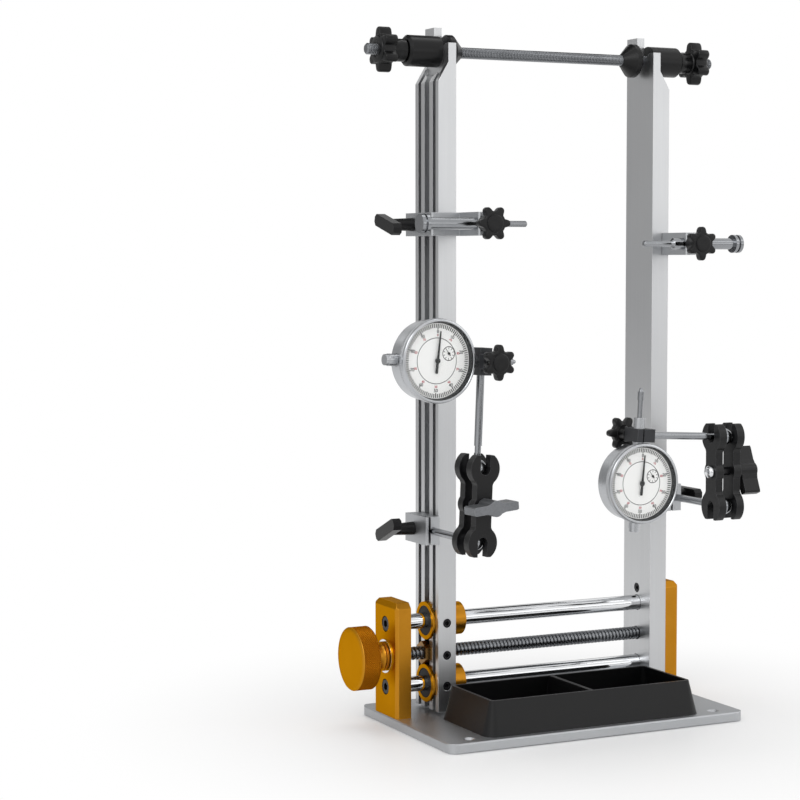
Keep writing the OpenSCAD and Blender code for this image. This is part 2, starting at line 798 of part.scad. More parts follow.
// Side outline of an upright, with the open fork at its top; y from its centre line
module upright_side(bottom) {
    fork_r = fork_w / 2;
    mouth_low = axle_z + front_prong_rise * mouth_low_share;
    difference() {
        polygon([
            [-upright_half, bottom], [upright_half, bottom],
            [upright_half, axle_z + back_prong_rise], [fork_r, axle_z + back_prong_rise],
            [fork_r, axle_z], [-fork_r, axle_z], [-fork_r, mouth_low],
            [-fork_r - mouth_run, axle_z + front_prong_rise],
            [-upright_half, axle_z + front_prong_rise]
        ]);
        translate([0, axle_z]) circle(r = fork_r);
    }
}

// An upright in its own frame: x outwards from the plain face, y from its centre line
module upright(bottom) {
    top = axle_z + back_prong_rise + over;
    difference() {
        intersection() {
            translate([0, 0, bottom]) linear_extrude(height = top - bottom) upright_section();
            rotate([90, 0, 90]) linear_extrude(height = upright_thick) upright_side(bottom);
        }
        rib_slope = (rib_end_low - rib_end_high) / groove_depth;
        translate([0, upright_half + over, 0]) rotate([90, 0, 0])
            linear_extrude(height = upright_depth + 2 * over) polygon([
                [web_thick, axle_z - rib_end_high],
                [upright_thick + over, axle_z - rib_end_low - rib_slope * over],
                [upright_thick + over, top + over], [web_thick, top + over]
            ]);
        translate([0, 0, axle_z]) bar_x(web_thick, groove_depth + over, pocket_r, pocket_r);
    }
}

// The fixed upright, bored clear of the rods and the screw
module right_upright() {
    color(satin_aluminium) translate([right_face_x, rail_y, 0]) difference() {
        upright(base_top);
        for (z = [rod_low_z, rod_high_z]) translate([0, 0, z])
            bar_x(-over, upright_thick + 2 * over, rod_d / 2 + slide_gap, rod_d / 2 + slide_gap);
        translate([0, 0, screw_z])
            bar_x(-over, upright_thick + 2 * over, screw_d / 2 + slide_gap, screw_d / 2 + slide_gap);
        for (z = face_screw_z) translate([0, 0, z]) {
            bar_x(-over, upright_thick + 2 * over,
                face_screw_d / 2 + loose_fit, face_screw_d / 2 + loose_fit);
            bar_x(-over, face_screw_head_w + slide_gap + over, face_screw_head_d / 2 + loose_fit,
                face_screw_head_d / 2 + loose_fit);
        }
    }
}

// Length of a set screw that reaches from the front face to a round part of diameter d
function set_screw_len(d) = upright_half - d / 2 - slide_gap * 2;

// The carriage upright, bored for its bushes, its nut and their set screws
module left_upright() {
    color(satin_aluminium) translate([left_face_x, rail_y, 0]) mirror([1, 0, 0]) difference() {
        upright(base_top + carriage_lift);
        for (z = [rod_low_z, rod_high_z]) translate([0, 0, z]) {
            bar_x(-over, upright_thick + 2 * over,
                bush_barrel_d / 2 + run_fit, bush_barrel_d / 2 + run_fit);
            set_screw_hole(bush_barrel_d);
        }
        translate([0, 0, screw_z]) {
            bar_x(-over, upright_thick + 2 * over, nut_shank_d / 2 + run_fit, nut_shank_d / 2 + run_fit);
            set_screw_hole(nut_shank_d);
        }
    }
}

module set_screw_hole(d) {
    translate([upright_thick / 2, 0, 0])
        bar_y(-upright_half - over, upright_half + over - d * set_hole_share,
            set_screw_d / 2 + run_fit, set_screw_d / 2 + run_fit);
}

// Flanged bushes of the carriage, bored for the guide rods and counterbored for the seals
module rod_bushes() {
    color(anodised_gold) for (z = [rod_low_z, rod_high_z])
        translate([left_face_x, rail_y, z]) mirror([1, 0, 0]) difference() {
            union() {
                bar_x(-bush_barrel_out, upright_thick + bush_barrel_out + over / 2,
                    bush_barrel_d / 2, bush_barrel_d / 2);
                bar_x(upright_thick, bush_flange_w, bush_flange_d / 2, bush_flange_d / 2);
            }
            bar_x(-bush_barrel_out - over, upright_thick + bush_barrel_out + bush_flange_w + 2 * over,
                rod_d / 2 + run_fit, rod_d / 2 + run_fit);
            bar_x(upright_thick + bush_flange_w - seal_w, seal_w + over, seal_d / 2, seal_d / 2);
            bar_x(-bush_barrel_out - over, seal_w + over, seal_d / 2, seal_d / 2);
        }
}

// Rubber wipers at both ends of the bushes
module bush_seals() {
    outer_r = seal_d / 2 - run_fit;
    inner_r = rod_d / 2 + run_fit;
    color(blackened) for (z = [rod_low_z, rod_high_z], inner = [0, 1])
        translate([left_face_x, rail_y, z]) mirror([1, 0, 0]) {
            x = inner == 1 ? -bush_barrel_out + slide_gap : upright_thick + bush_flange_w - seal_w;
            difference() {
                bar_x(x, seal_w - slide_gap, outer_r, outer_r);
                bar_x(x - over, seal_w + 2 * over, inner_r, inner_r);
            }
        }
}

// Bronze nut of the lead screw, with its hexagon against the grooved face
module lead_nut() {
    color(bronze) translate([left_face_x, rail_y, screw_z]) mirror([1, 0, 0]) difference() {
        union() {
            translate([upright_thick, 0, 0]) rotate([0, 90, 0])
                cylinder(h = nut_hex_w, r = nut_flats / sqrt(3), $fn = 6);
            bar_x(0, upright_thick + over / 2, nut_shank_d / 2, nut_shank_d / 2);
        }
        bar_x(-over, upright_thick + nut_hex_w + 2 * over, screw_d / 2 + run_fit, screw_d / 2 + run_fit);
    }
}

// Set screws in the front of the carriage, at the bushes and at the nut
module set_screws() {
    color(charcoal) for (part = [[rod_low_z, bush_barrel_d], [screw_z, nut_shank_d],
        [rod_high_z, bush_barrel_d]])
        translate([left_face_x - upright_thick / 2, rail_y, part[0]]) difference() {
            bar_y(-upright_half + slide_gap, set_screw_len(part[1]), set_screw_d / 2, set_screw_d / 2);
            translate([0, -upright_half - over, 0]) rotate([-90, 0, 0])
                hex_socket(set_screw_d / 2, set_screw_d / 2 + over);
        }
}

// Lead screw from inside the knob to the bearing hole in the right end plate
module lead_screw() {
    r = journal_d / 2;
    color(polished_steel) translate([0, rail_y, screw_z]) {
        bar_x(knob_seat_x - knob_bore_depth, screw_end_x - knob_seat_x + knob_bore_depth, r, r);
        bar_x(-end_inner_x + slide_gap, end_inner_x + screw_thread_x - slide_gap, screw_d / 2, screw_d / 2);
    }
}

// Adjusting knob: a wide gripping rim on a waisted hub
module adjusting_knob() {
    rim_r = adjust_knob_d / 2;
    c = knob_rim_chamfer;
    face = adjust_knob_len;
    back = adjust_knob_len - adjust_rim_w;
    waist_z = back * waist_place_share;
    waist_run = back * waist_run_share;
    color(anodised_gold) translate([knob_seat_x, rail_y, screw_z]) rotate([0, -90, 0])
        rotate_extrude($fn = 96) polygon([
            [journal_d / 2 + run_fit, 0], [adjust_hub_d / 2, 0],
            [adjust_hub_d / 2, waist_z - 2 * waist_run],
            [adjust_waist_d / 2, waist_z - waist_run], [adjust_waist_d / 2, waist_z + waist_run],
            [adjust_hub_d / 2 + c, back], [rim_r - c, back], [rim_r, back + c],
            [rim_r, face - c], [rim_r - c, face], [0, face],
            [0, knob_bore_depth], [journal_d / 2 + run_fit, knob_bore_depth]
        ]);
}

// The wheel's axle, a straight rod through both forks
module axle_rod() {
    r = axle_d / 2;
    c = r * axle_chamfer_share;
    color(polished_steel) translate([axle_left_x, rail_y, axle_z]) rotate([0, 90, 0]) rotate_extrude()
        polygon([
            [0, 0], [r - c, 0], [r, c], [r, axle_right_x - axle_left_x - c],
            [r - c, axle_right_x - axle_left_x], [0, axle_right_x - axle_left_x]
        ]);
}

// Centring cone whose collar starts at x, pointing along +X
module cone_x(x) {
    step_w = cone_collar_w * cone_step_share;
    difference() {
        union() {
            bar_x(x, step_w, cone_d / 2 - step_w, cone_d / 2);
            bar_x(x + step_w, cone_collar_w - step_w, cone_d / 2, cone_d / 2);
            bar_x(x + cone_collar_w, cone_slope, cone_d / 2, cone_tip_d / 2);
        }
        bar_x(x - over, cone_collar_w + cone_slope + 2 * over, axle_d / 2 + run_fit, axle_d / 2 + run_fit);
    }
}

// Sleeve that bears on the outside of a fork's web, along +X
module sleeve_x() {
    c = sleeve_len * sleeve_chamfer_share;
    difference() {
        union() {
            bar_x(0, sleeve_len - c, sleeve_d / 2, sleeve_d / 2);
            bar_x(sleeve_len - c, c, sleeve_d / 2, sleeve_d / 2 - c);
        }
        bar_x(-over, sleeve_len + 2 * over, axle_d / 2 + run_fit, axle_d / 2 + run_fit);
    }
}

module left_cone_and_sleeve() {
    color(blackened) translate([0, rail_y, axle_z]) {
        translate([left_face_x, 0, 0]) cone_x(0);
        translate([left_web_x, 0, 0]) mirror([1, 0, 0]) sleeve_x();
    }
}

module right_cone_and_sleeve() {
    color(blackened) translate([0, rail_y, axle_z]) {
        translate([right_face_x - right_cone_gap, 0, 0]) mirror([1, 0, 0]) cone_x(0);
        translate([right_web_x, 0, 0]) sleeve_x();
    }
}

// Star knob on the axle: neck, lobed head and a stepped face, along +X
module axle_knob_x() {
    head = axle_neck_len;
    step_w = axle_head_w * knob_step_share;
    color(blackened) difference() {
        union() {
            bar_x(0, head + over / 2, axle_neck_d / 2, axle_neck_d / 2);
            translate([head, 0, 0]) rotate([0, 90, 0]) {
                linear_extrude(height = axle_head_w - step_w) star_outline(axle_knob_d, knob_lobes);
                cylinder(h = axle_head_w, r = axle_knob_d * knob_face_share);
            }
        }
        bar_x(-over, axle_knob_len + 2 * over, axle_d / 2 + run_fit, axle_d / 2 + run_fit);
    }
}

module left_axle_knob() {
    translate([left_knob_x - slide_gap, rail_y, axle_z]) mirror([1, 0, 0]) axle_knob_x();
}

module right_axle_knob() {
    translate([right_knob_x + slide_gap, rail_y, axle_z]) axle_knob_x();
}

// T-nut in an upright's slot, x outwards from the upright's plain face
module tee_nut(height) {
    difference() {
        union() {
            translate([nut_plate_in, -nut_plate_w / 2, -height / 2])
                cube([nut_lip_x - slide_gap - nut_plate_in, nut_plate_w, height]);
            translate([nut_plate_in, -nut_neck_w / 2, -height / 2])
                cube([upright_thick - slide_gap - nut_plate_in, nut_neck_w, height]);
        }
        bar_x(0, upright_thick, clamp_screw_d / 2 + run_fit, clamp_screw_d / 2 + run_fit);
    }
}

// Feeler bracket in the frame of an upright: x outwards from the plain face, y from its
// centre line. leg_x is the inboard face of the leg and leg_y its front.
module feeler_bracket(leg_x, leg_y) {
    h = bracket_h;
    front = plate_front_y - rail_y;
    back = plate_back_y - rail_y;
    leg_front = leg_y - rail_y;
    leg_mid = leg_x + leg_thick / 2;
    edge = bracket_thick * bracket_edge_share;
    color(satin_aluminium) {
        difference() {
            translate([0, 0, -h / 2]) linear_extrude(height = h) polygon([
                [block_in, bracket_back], [block_in, back],
                [leg_x, back], [leg_x, leg_front + edge], [leg_x + edge, leg_front],
                [leg_x + leg_thick - edge, leg_front], [leg_x + leg_thick, leg_front + edge],
                [leg_x + leg_thick, front],
                [block_out - edge, front], [block_out, front + edge],
                [block_out, bracket_back - edge], [block_out - edge, bracket_back]
            ]);
            bar_x(block_in - over, bracket_thick + 2 * over,
                clamp_screw_d / 2 + run_fit, clamp_screw_d / 2 + run_fit);
            translate([0, leg_front + pin_setback, 0])
                bar_x(leg_x - over, leg_thick + 2 * over, pin_d / 2 + run_fit, pin_d / 2 + run_fit);
            translate([leg_mid, 0, 0])
                bar_y(leg_front - over, pin_setback + over,
                    clamp_screw_m / 2 + run_fit, clamp_screw_m / 2 + run_fit);
        }
        tee_nut(h * nut_share);
    }
}

// Places its children in the frame of the left or the right upright
module at_left(z) {
    translate([left_face_x, rail_y, z]) mirror([1, 0, 0]) children();
}

module at_right(z) {
    translate([right_face_x, rail_y, z]) children();
}

// T-handle clamp screw whose stem starts at x, along +X
module tee_screw(x, tilt) {
    bar_x0 = x + tee_stem_len;
    cut = tee_bar_w * tee_cut_share;
    color(blackened) rotate([tilt, 0, 0]) {
        bar_x(nut_plate_in + slide_gap, x - nut_plate_in + over, clamp_screw_d / 2, clamp_screw_d / 2);
        bar_x(x + slide_gap, tee_stem_len - slide_gap + over / 2, tee_stem_d / 2, tee_neck_d / 2);
        translate([bar_x0, 0, 0]) rotate([90, 0, 90]) linear_extrude(height = tee_bar_t) polygon([
            [-tee_bar_len / 2, -tee_bar_w / 2 + cut], [-tee_bar_len / 2 + cut, -tee_bar_w / 2],
            [tee_bar_len / 2 - cut, -tee_bar_w / 2], [tee_bar_len / 2, -tee_bar_w / 2 + cut],
            [tee_bar_len / 2, tee_bar_w / 2 - cut], [tee_bar_len / 2 - cut, tee_bar_w / 2],
            [-tee_bar_len / 2 + cut, tee_bar_w / 2], [-tee_bar_len / 2, tee_bar_w / 2 - cut]
        ]);
    }
}

// Feeler: thin tip, shank and a grooved head, with the tip at x and the head towards +X
module feeler_pin(x) {
    tip_c = pin_tip_d * tip_round_share / 2;
    groove = pin_head_w * pin_groove_share;
    shank_x = x + pin_tip_len + pin_shoulder;
    head_x = x + pin_len - pin_head_w;
    color(polished_steel) {
        bar_x(x, tip_c, pin_tip_d / 2 - tip_c, pin_tip_d / 2);
        bar_x(x + tip_c, pin_tip_len - tip_c, pin_tip_d / 2, pin_tip_d / 2);
        bar_x(x + pin_tip_len, pin_shoulder, pin_tip_d / 2, pin_d / 2);
        bar_x(shank_x, head_x - shank_x + over, pin_d / 2, pin_d / 2);
        bar_x(head_x, pin_head_w / 2 - groove, pin_head_d / 2, pin_head_d / 2);
        bar_x(head_x, pin_head_w, pin_head_d / 2 - 2 * groove, pin_head_d / 2 - 2 * groove);
        bar_x(head_x + pin_head_w / 2 + groove, pin_head_w / 2 - groove, pin_head_d / 2, pin_head_d / 2);
    }
}

// Small star knob along -Y, a slide_gap off its seat at y = 0, with a screw of length reach
// behind the seat
module small_knob(length, reach, turn) {
    hub_r = small_knob_d * small_hub_share;
    cap_h = small_head_w * small_cap_share;
    color(blackened) rotate([90, 0, 0]) {
        translate([0, 0, slide_gap])
            cylinder(h = length - small_head_w, r1 = hub_r * hub_taper_share, r2 = hub_r);
        translate([0, 0, length - small_head_w])
            linear_extrude(height = small_head_w - cap_h)
                rotate(turn) star_outline(small_knob_d, knob_lobes);
        translate([0, 0, slide_gap]) cylinder(h = length - slide_gap, r = hub_r * small_stem_share);
        translate([0, 0, -reach]) cylinder(h = reach + over, r = clamp_screw_m / 2);
    }
}

module left_feeler_bracket() {
    at_left(left_feeler_z) feeler_bracket(left_leg_x, left_leg_front);
}

module right_feeler_bracket() {
    at_right(right_feeler_z) feeler_bracket(right_leg_x, right_leg_front);
}

module left_feeler_screw() {
    at_left(left_feeler_z) tee_screw(block_out, tee_tilt_upper);
}

module right_feeler_screw() {
    at_right(right_feeler_z) tee_screw(block_out, tee_tilt_upper);
}

module left_feeler_pin() {
    at_left(left_feeler_z) translate([0, left_pin_y, 0]) feeler_pin(left_leg_x - left_pin_out);
}

module right_feeler_pin() {
    at_right(right_feeler_z) translate([0, right_pin_y, 0]) feeler_pin(right_leg_x - right_pin_out);
}

module left_feeler_knob() {
    at_left(left_feeler_z) translate([left_leg_x + leg_thick / 2, left_leg_front - rail_y, 0])
        small_knob(small_knob_len, knob_reach, 0);
}

module right_feeler_knob() {
    at_right(right_feeler_z) translate([right_leg_x + leg_thick / 2, right_leg_front - rail_y, 0])
        small_knob(small_knob_len, knob_reach, half_lobe);
}

// Arm block, drawn from its left face at x = 0, with y from the uprights' centre line
module arm_block() {
    rod_x = rod_in_block_share * arm_block_thick;
    cut_x = saw_cut_share * arm_block_thick - saw_cut_w / 2;
    difference() {
        translate([0, -arm_block_front, -arm_block_h / 2])
            cube([arm_block_thick, arm_block_depth, arm_block_h]);
        translate([cut_x, -arm_block_front - over, -arm_block_h])
            cube([saw_cut_w, saw_cut_depth + over, 2 * arm_block_h]);
        translate([rod_x, 0, 0])
            bar_y(-arm_block_front - over, rod_grip + over, ball_rod_d / 2 + run_fit,
                ball_rod_d / 2 + run_fit);
        bar_x(-over, arm_block_thick + 2 * over, clamp_screw_d / 2 + run_fit, clamp_screw_d / 2 + run_fit);
    }
}

module left_arm_block() {
    color(satin_aluminium) {
        translate([left_block_x, rail_y, left_arm_z]) arm_block();
        at_left(left_arm_z) tee_nut(arm_block_h * nut_share);
    }
}

module right_arm_block() {
    color(satin_aluminium) {
        translate([right_block_x, rail_y, right_arm_z]) arm_block();
        at_right(right_arm_z) tee_nut(arm_block_h * nut_share);
    }
}

module left_arm_screw() {
    at_left(left_arm_z) tee_screw(arm_block_out, tee_tilt_lower);
}

module right_arm_screw() {
    at_right(right_arm_z) tee_screw(arm_block_out, 0);
}

// Ball on a rod that leaves it along +Z and ends at length
module ball_rod(length) {
    color(polished_steel) {
        sphere(r = ball_d / 2);
        cylinder(h = length, r = ball_neck_d / 2);
        translate([0, 0, neck_len]) cylinder(h = length - neck_len, r = ball_rod_d / 2);
    }
}

module left_lower_rod() {
    translate(left_ball) rotate([-90, 0, 0]) ball_rod(lower_rod_len);
}

module right_lower_rod() {
    translate(right_ball) rotate([-90, 0, 0]) ball_rod(lower_rod_len);
}

// Side outline of an arm plate, x across and y along, from the lower ball at the origin
module plate_outline() {
    mid = ball_pitch / 2;
    difference() {
        union() {
            intersection() {
                for (y = [0, ball_pitch]) translate([0, y]) circle(r = plate_lobe_d / 2);
                translate([-plate_lobe_d, mid - plate_len / 2]) square([2 * plate_lobe_d, plate_len]);
            }
            translate([-plate_waist_w / 2, 0]) square([plate_waist_w, ball_pitch]);
            translate([0, mid]) circle(r = plate_boss_d / 2);
            for (sx = [0, 1], sy = [0, 1])
                translate([0, sy * ball_pitch]) mirror([sx, 0]) mirror([0, sy]) lobe_fillet();
        }
        for (m = [0, 1]) translate([0, m * ball_pitch]) mirror([0, m]) {
            circle(r = plate_slot_w / 2 + slot_ease);
            translate([-plate_slot_w / 2, -plate_len]) square([plate_slot_w, plate_len]);
        }
    }
}

// The fillet between a plate's lobe and its waist
module lobe_fillet() {
    across = plate_waist_w / 2 + arm_fillet - slot_ease;
    along = sqrt(pow(plate_lobe_d / 2 + arm_fillet - slot_ease, 2) - pow(across, 2));
    difference() {
        polygon([[0, 0], [across, along], [0, along]]);
        translate([across, along]) circle(r = arm_fillet);
    }
}

// The two plates of an arm, z up from the lower ball and y along the bolt
module arm_plates() {
    fit = run_fit;
    color(blackened) difference() {
        for (s = [-1, 1]) translate([0, s > 0 ? plate_outer : -plate_gap / 2, 0])
            rotate([90, 0, 0]) linear_extrude(height = plate_thick) plate_outline();
        for (z = [0, ball_pitch]) translate([0, 0, z]) sphere(r = ball_d / 2 + fit);
        translate([0, 0, ball_pitch / 2])
            bar_y(-plate_outer - over, 2 * (plate_outer + over), arm_bolt_d / 2 + fit, arm_bolt_d / 2 + fit);
    }
}

// The arm's lever on its bolt: winged hub at -Y, round bolt head at +Y, about the bolt's axis
module arm_lever(tint) {
    hub_r = lever_hub_d / 2;
    wing = lever_len / 2;
    root = hub_r * wing_root_share;
    tip = wing_tip_share * lever_wing_t / 2;
    flat = hub_r * hub_flat_share;
    half_t = lever_wing_t / 2;
    color(tint) {
        bar_y(-plate_outer - lever_face, lever_face - slide_gap, hub_r, hub_r);
        translate([0, -plate_outer - lever_face + lever_deep, 0]) rotate([90, 0, 0])
            linear_extrude(height = lever_deep) polygon([
                [-wing, -tip], [-wing + half_t / 2, -half_t], [-root, -half_t], [0, -flat],
                [root, -half_t], [wing - half_t / 2, -half_t], [wing, -tip],
                [wing, tip], [wing - half_t / 2, half_t], [root, half_t], [0, flat],
                [-root, half_t], [-wing + half_t / 2, half_t], [-wing, tip]
            ]);
        bar_y(-plate_outer - over, 2 * plate_outer + over + slide_gap, arm_bolt_d / 2, arm_bolt_d / 2);
        bar_y(plate_outer + slide_gap, bolt_head_w, bolt_head_d / 2,
            bolt_dome_share * bolt_head_d / 2);
    }
}

// Places its children in the left arm's frame, or in the right arm's
module in_left_arm() {
    translate(left_ball) rotate([0, left_arm_lean, 0]) rotate([0, 0, left_arm_turn]) children();
}

module in_right_arm() {
    translate(right_ball) rotate([0, 0, 90]) children();
}

module left_arm_plates() {
    in_left_arm() arm_plates();
}

module right_arm_plates() {
    in_right_arm() arm_plates();
}

module left_arm_lever() {
    in_left_arm() translate([0, 0, ball_pitch / 2]) rotate([0, -lever_tilt_left, 0]) arm_lever("#6d6f73");
}

module right_arm_lever() {
    in_right_arm() translate([0, 0, ball_pitch / 2])
        rotate([0, 90 + lever_tilt_right, 0]) arm_lever(blackened);
}

// Frames of the dial clamps: x along the dial's stem, z along the rod away from its ball,
// and the clamp knob on the side of -y
module at_left_clamp() {
    in_left_arm() translate([0, 0, ball_pitch + left_clamp_rise]) children();
}

module at_right_clamp() {
    translate(right_ball) translate([0, 0, ball_pitch]) rotate([0, right_rod_tilt - 90, 0])
        translate([0, 0, right_clamp_run]) rotate([0, 0, 180]) children();
}

module left_upper_rod() {
    in_left_arm() translate([0, 0, ball_pitch]) ball_rod(left_clamp_rise - stem_stop);
}

module right_upper_rod() {
    translate(right_ball) translate([0, 0, ball_pitch]) rotate([0, right_rod_tilt - 90, 0])
        ball_rod(right_clamp_run - stem_stop);
}

// Dial clamp: a block that grips the rod's end and the dial's stem, with a square spacer
// and the clamp screw's thread on the side of -y
module dial_clamp(past) {
    w = clamp_w;
    color(charcoal) difference() {
        union() {
            translate([-w / 2, -clamp_deep / 2, -clamp_before]) cube([w, clamp_deep, clamp_before + past]);
            translate([-spacer_w / 2, -clamp_deep / 2 - spacer_len, min(past, spacer_w / 2) - spacer_w])
                cube([spacer_w, spacer_len + over, spacer_w]);
        }
        bar_x(-w, 2 * w, stem_d / 2 + run_fit, stem_d / 2 + run_fit);
        translate([0, 0, -clamp_before - over])
            cylinder(h = clamp_before + over - stem_stop + slide_gap, r = ball_rod_d / 2 + run_fit);
        translate([-w, clamp_deep * slit_start_share, -clamp_slit / 2]) cube([2 * w, clamp_deep, clamp_slit]);
        bar_y(-clamp_deep - spacer_len, clamp_deep + spacer_len, clamp_hole_r, clamp_hole_r);
    }
}

module left_dial_clamp() {
    at_left_clamp() dial_clamp(left_clamp_past);
}

module right_dial_clamp() {
    at_right_clamp() dial_clamp(right_clamp_past);
}

module left_clamp_knob() {
    at_left_clamp() translate([0, -clamp_deep / 2 - spacer_len, 0])
        small_knob(clamp_knob_len, clamp_knob_reach, half_lobe);
}

module right_clamp_knob() {
    at_right_clamp() translate([0, -clamp_deep / 2 - spacer_len, 0])
        small_knob(clamp_knob_len, clamp_knob_reach, half_lobe);
}

// Frame of a dial: x along its spindle towards the point, -y out of its face
module at_left_dial() {
    at_left_clamp() translate([-left_dial_off, 0, 0]) children();
}

module at_right_dial() {
    translate(right_ball) translate([0, 0, ball_pitch]) rotate([0, right_rod_tilt - 90, 0])
        translate([-right_dial_off, 0, right_clamp_run]) children();
}

// Turned shape about the dial's face axis; profile points are [radius, depth from the stem axis]
module dial_turned(points) {
    rotate([-90, 0, 0]) rotate_extrude($fn = 96) polygon(points);
}

// The middle of the face and the middle of its turn counter
module arbor_places() {
    children();
    translate([sub_dial[0], 0, sub_dial[1]]) children();
}

// Dial case with its stem and its dust cap
module dial_case(cap_reach, face_turn) {
    color(satin_aluminium) difference() {
        union() {
            dial_turned([
                [0, case_front], [neck_r, case_front], [neck_r, bezel_back + slide_gap],
                [case_r - case_edge, bezel_back + slide_gap], [case_r, bezel_back + case_edge + slide_gap],
                [case_r, case_back - case_back_edge], [case_r - case_back_edge, case_back], [0, case_back]
            ]);
            bar_x(0, stem_reach, stem_d / 2, stem_d / 2);
            bar_x(case_r - cap_seat, stem_neck_w, stem_neck_d / 2, stem_neck_d / 2);
            rotate([0, 0, 180]) {
                bar_x(case_r - cap_seat, cap_reach - case_r - cap_step, cap_d / 2, cap_d / 2);
                bar_x(cap_reach - cap_top_w, cap_top_w, cap_d / 2 - cap_top_in, cap_d / 2 - cap_top_in);
                translate([case_r - cap_seat, 0, 0]) rotate([0, 90, 0])
                    cylinder(h = cap_hex_w, r = cap_hex_d / 2, $fn = 6);
            }
        }
        bar_x(-spindle_travel - slide_gap, stem_reach + spindle_travel + slide_gap + over,
            spindle_bore / 2, spindle_bore / 2);
        rotate([0, face_turn, 0]) arbor_places()
            bar_y(face_front - over, over + face_t + arbor_depth + run_fit, arbor_hole_r, arbor_hole_r);
    }
}

// The turning bezel, which carries the face and the crystal
module dial_bezel() {
    lip_r = crystal_r - bezel_lip;
    seat_y = dial_front + crystal_set + run_fit;
    color(satin_aluminium) dial_turned([
        [lip_r, dial_front], [bezel_r - bezel_edge, dial_front], [bezel_r, dial_front + bezel_edge],
        [bezel_r, bezel_back], [neck_r + run_fit, bezel_back], [neck_r + run_fit, face_front],
        [crystal_r + run_fit, seat_y + crystal_t + run_fit], [crystal_r + run_fit, seat_y], [lip_r, seat_y]
    ]);
}

// The fixed middle of the white face, drilled for the two arbors
module dial_face() {
    color(dial_white) difference() {
        bar_y(face_front, face_t, scale_r - 2 * run_fit, scale_r - 2 * run_fit);
        arbor_places() bar_y(face_front - over, face_t + 2 * over, arbor_hole_r, arbor_hole_r);
    }
}

// The white ring with the scale, which turns with the bezel
module dial_scale() {
    color(dial_white) difference() {
        bar_y(face_front, face_t - run_fit, face_r, face_r);
        bar_y(face_front - over, face_t + 2 * over, scale_r, scale_r);
    }
}

// The clear crystal, held behind the bezel's lip
module dial_crystal() {
    color("#dfe8ea") bar_y(dial_front + crystal_set + 2 * run_fit, crystal_t, crystal_r, crystal_r);
}

// The long needle on its arbor, pointing to +z
module dial_needle(turn) {
    y = face_front - needle_lift;
    base = needle_w / 2;
    point = base * needle_point_share;
    tail = base * needle_tail_w_share;
    color(blackened) rotate([0, turn, 0]) {
        translate([0, y + needle_t, 0]) rotate([90, 0, 0]) linear_extrude(height = needle_t) {
            polygon([[-base, 0], [base, 0], [point, needle_r], [-point, needle_r]]);
            polygon([[-base, 0], [base, 0], [tail, -needle_tail], [-tail, -needle_tail]]);
            circle(r = needle_hub_r);
        }
        bar_y(y, needle_lift + face_t + arbor_depth, arbor_d / 2, arbor_d / 2);
    }
}

// The turn counter's small needle
module dial_small_needle(turn) {
    y = face_front - needle_lift / 2;
    base = small_base_share * needle_w / 2;
    color(blackened) translate([sub_dial[0], 0, sub_dial[1]]) rotate([0, turn, 0]) {
        translate([0, y + needle_t, 0]) rotate([90, 0, 0]) linear_extrude(height = needle_t) {
            polygon([[-base, -small_needle_r / 2], [base, -small_needle_r / 2], [0, small_needle_r]]);
            circle(r = needle_hub_r * small_needle_hub_share);
        }
        bar_y(y, needle_lift / 2 + face_t + arbor_depth, arbor_d / 2, arbor_d / 2);
    }
}

// The spindle with its contact point, drawn along +X
module dial_spindle() {
    r = spindle_d / 2;
    color(polished_steel) {
        bar_x(0, point_reach - point_w, r, r);
        bar_x(point_reach - point_collar_in, point_collar_w, point_d / 2, point_d / 2);
        bar_x(point_reach - point_w, point_w - point_tip_r, r, point_tip_r);
        translate([point_reach - point_tip_r, 0, 0]) sphere(r = point_tip_r, $fn = 32);
    }
}

module left_dial_case() {
    at_left_dial() dial_case(left_cap_reach, 0);
}

module right_dial_case() {
    at_right_dial() dial_case(right_cap_reach, 90);
}

module left_dial_face() {
    at_left_dial() dial_face();
}

module right_dial_face() {
    at_right_dial() rotate([0, 90, 0]) dial_face();
}

module left_dial_bezel() {
    at_left_dial() dial_bezel();
}

module right_dial_bezel() {
    at_right_dial() dial_bezel();
}

module left_dial_scale() {
    at_left_dial() dial_scale();
}

module right_dial_scale() {
    at_right_dial() dial_scale();
}

module left_dial_crystal() {
    at_left_dial() dial_crystal();
}

module right_dial_crystal() {
    at_right_dial() dial_crystal();
}

module left_needle() {
    at_left_dial() dial_needle(left_needle_turn);
}

module right_needle() {
    at_right_dial() rotate([0, 90, 0]) dial_needle(right_needle_turn);
}

module left_small_needle() {
    at_left_dial() dial_small_needle(small_needle_turn);
}

module right_small_needle() {
    at_right_dial() rotate([0, 90, 0]) dial_small_needle(small_needle_turn);
}

module left_spindle() {
    at_left_dial() dial_spindle();
}

module right_spindle() {
    at_right_dial() dial_spindle();
}

// The parts tray: two drafted compartments, open at the top
module tray_post(sx, sy, length, depth, corner, z0, z1, slope) {
    translate([sx * (length / 2 - corner), sy * (depth / 2 - corner), z0])
        cylinder(h = z1 - z0, r1 = corner, r2 = corner - slope * (z1 - z0), $fn = 32);
}

module parts_tray() {
    slope = tray_draft / tray_height;
    hollow_l = tray_length - 2 * tray_wall;
    hollow_d = tray_depth - 2 * tray_wall;
    hollow_r = tray_corner_r - tray_wall / 2;
    back_y = front_y - bracket_thick * tray_gap_share;
    color(blackened) translate([tray_x, back_y - tray_depth / 2, base_top]) difference() {
        hull() for (sx = [-1, 1], sy = [-1, 1])
            tray_post(sx, sy, tray_length, tray_depth, tray_corner_r, 0, tray_height, slope);
        difference() {
            hull() for (sx = [-1, 1], sy = [-1, 1])
                tray_post(sx, sy, hollow_l, hollow_d, hollow_r, tray_floor, tray_height + over, slope);
            translate([-tray_divider / 2, -tray_depth, 0])
                cube([tray_divider, 2 * tray_depth, tray_height + 2 * over]);
        }
    }
}

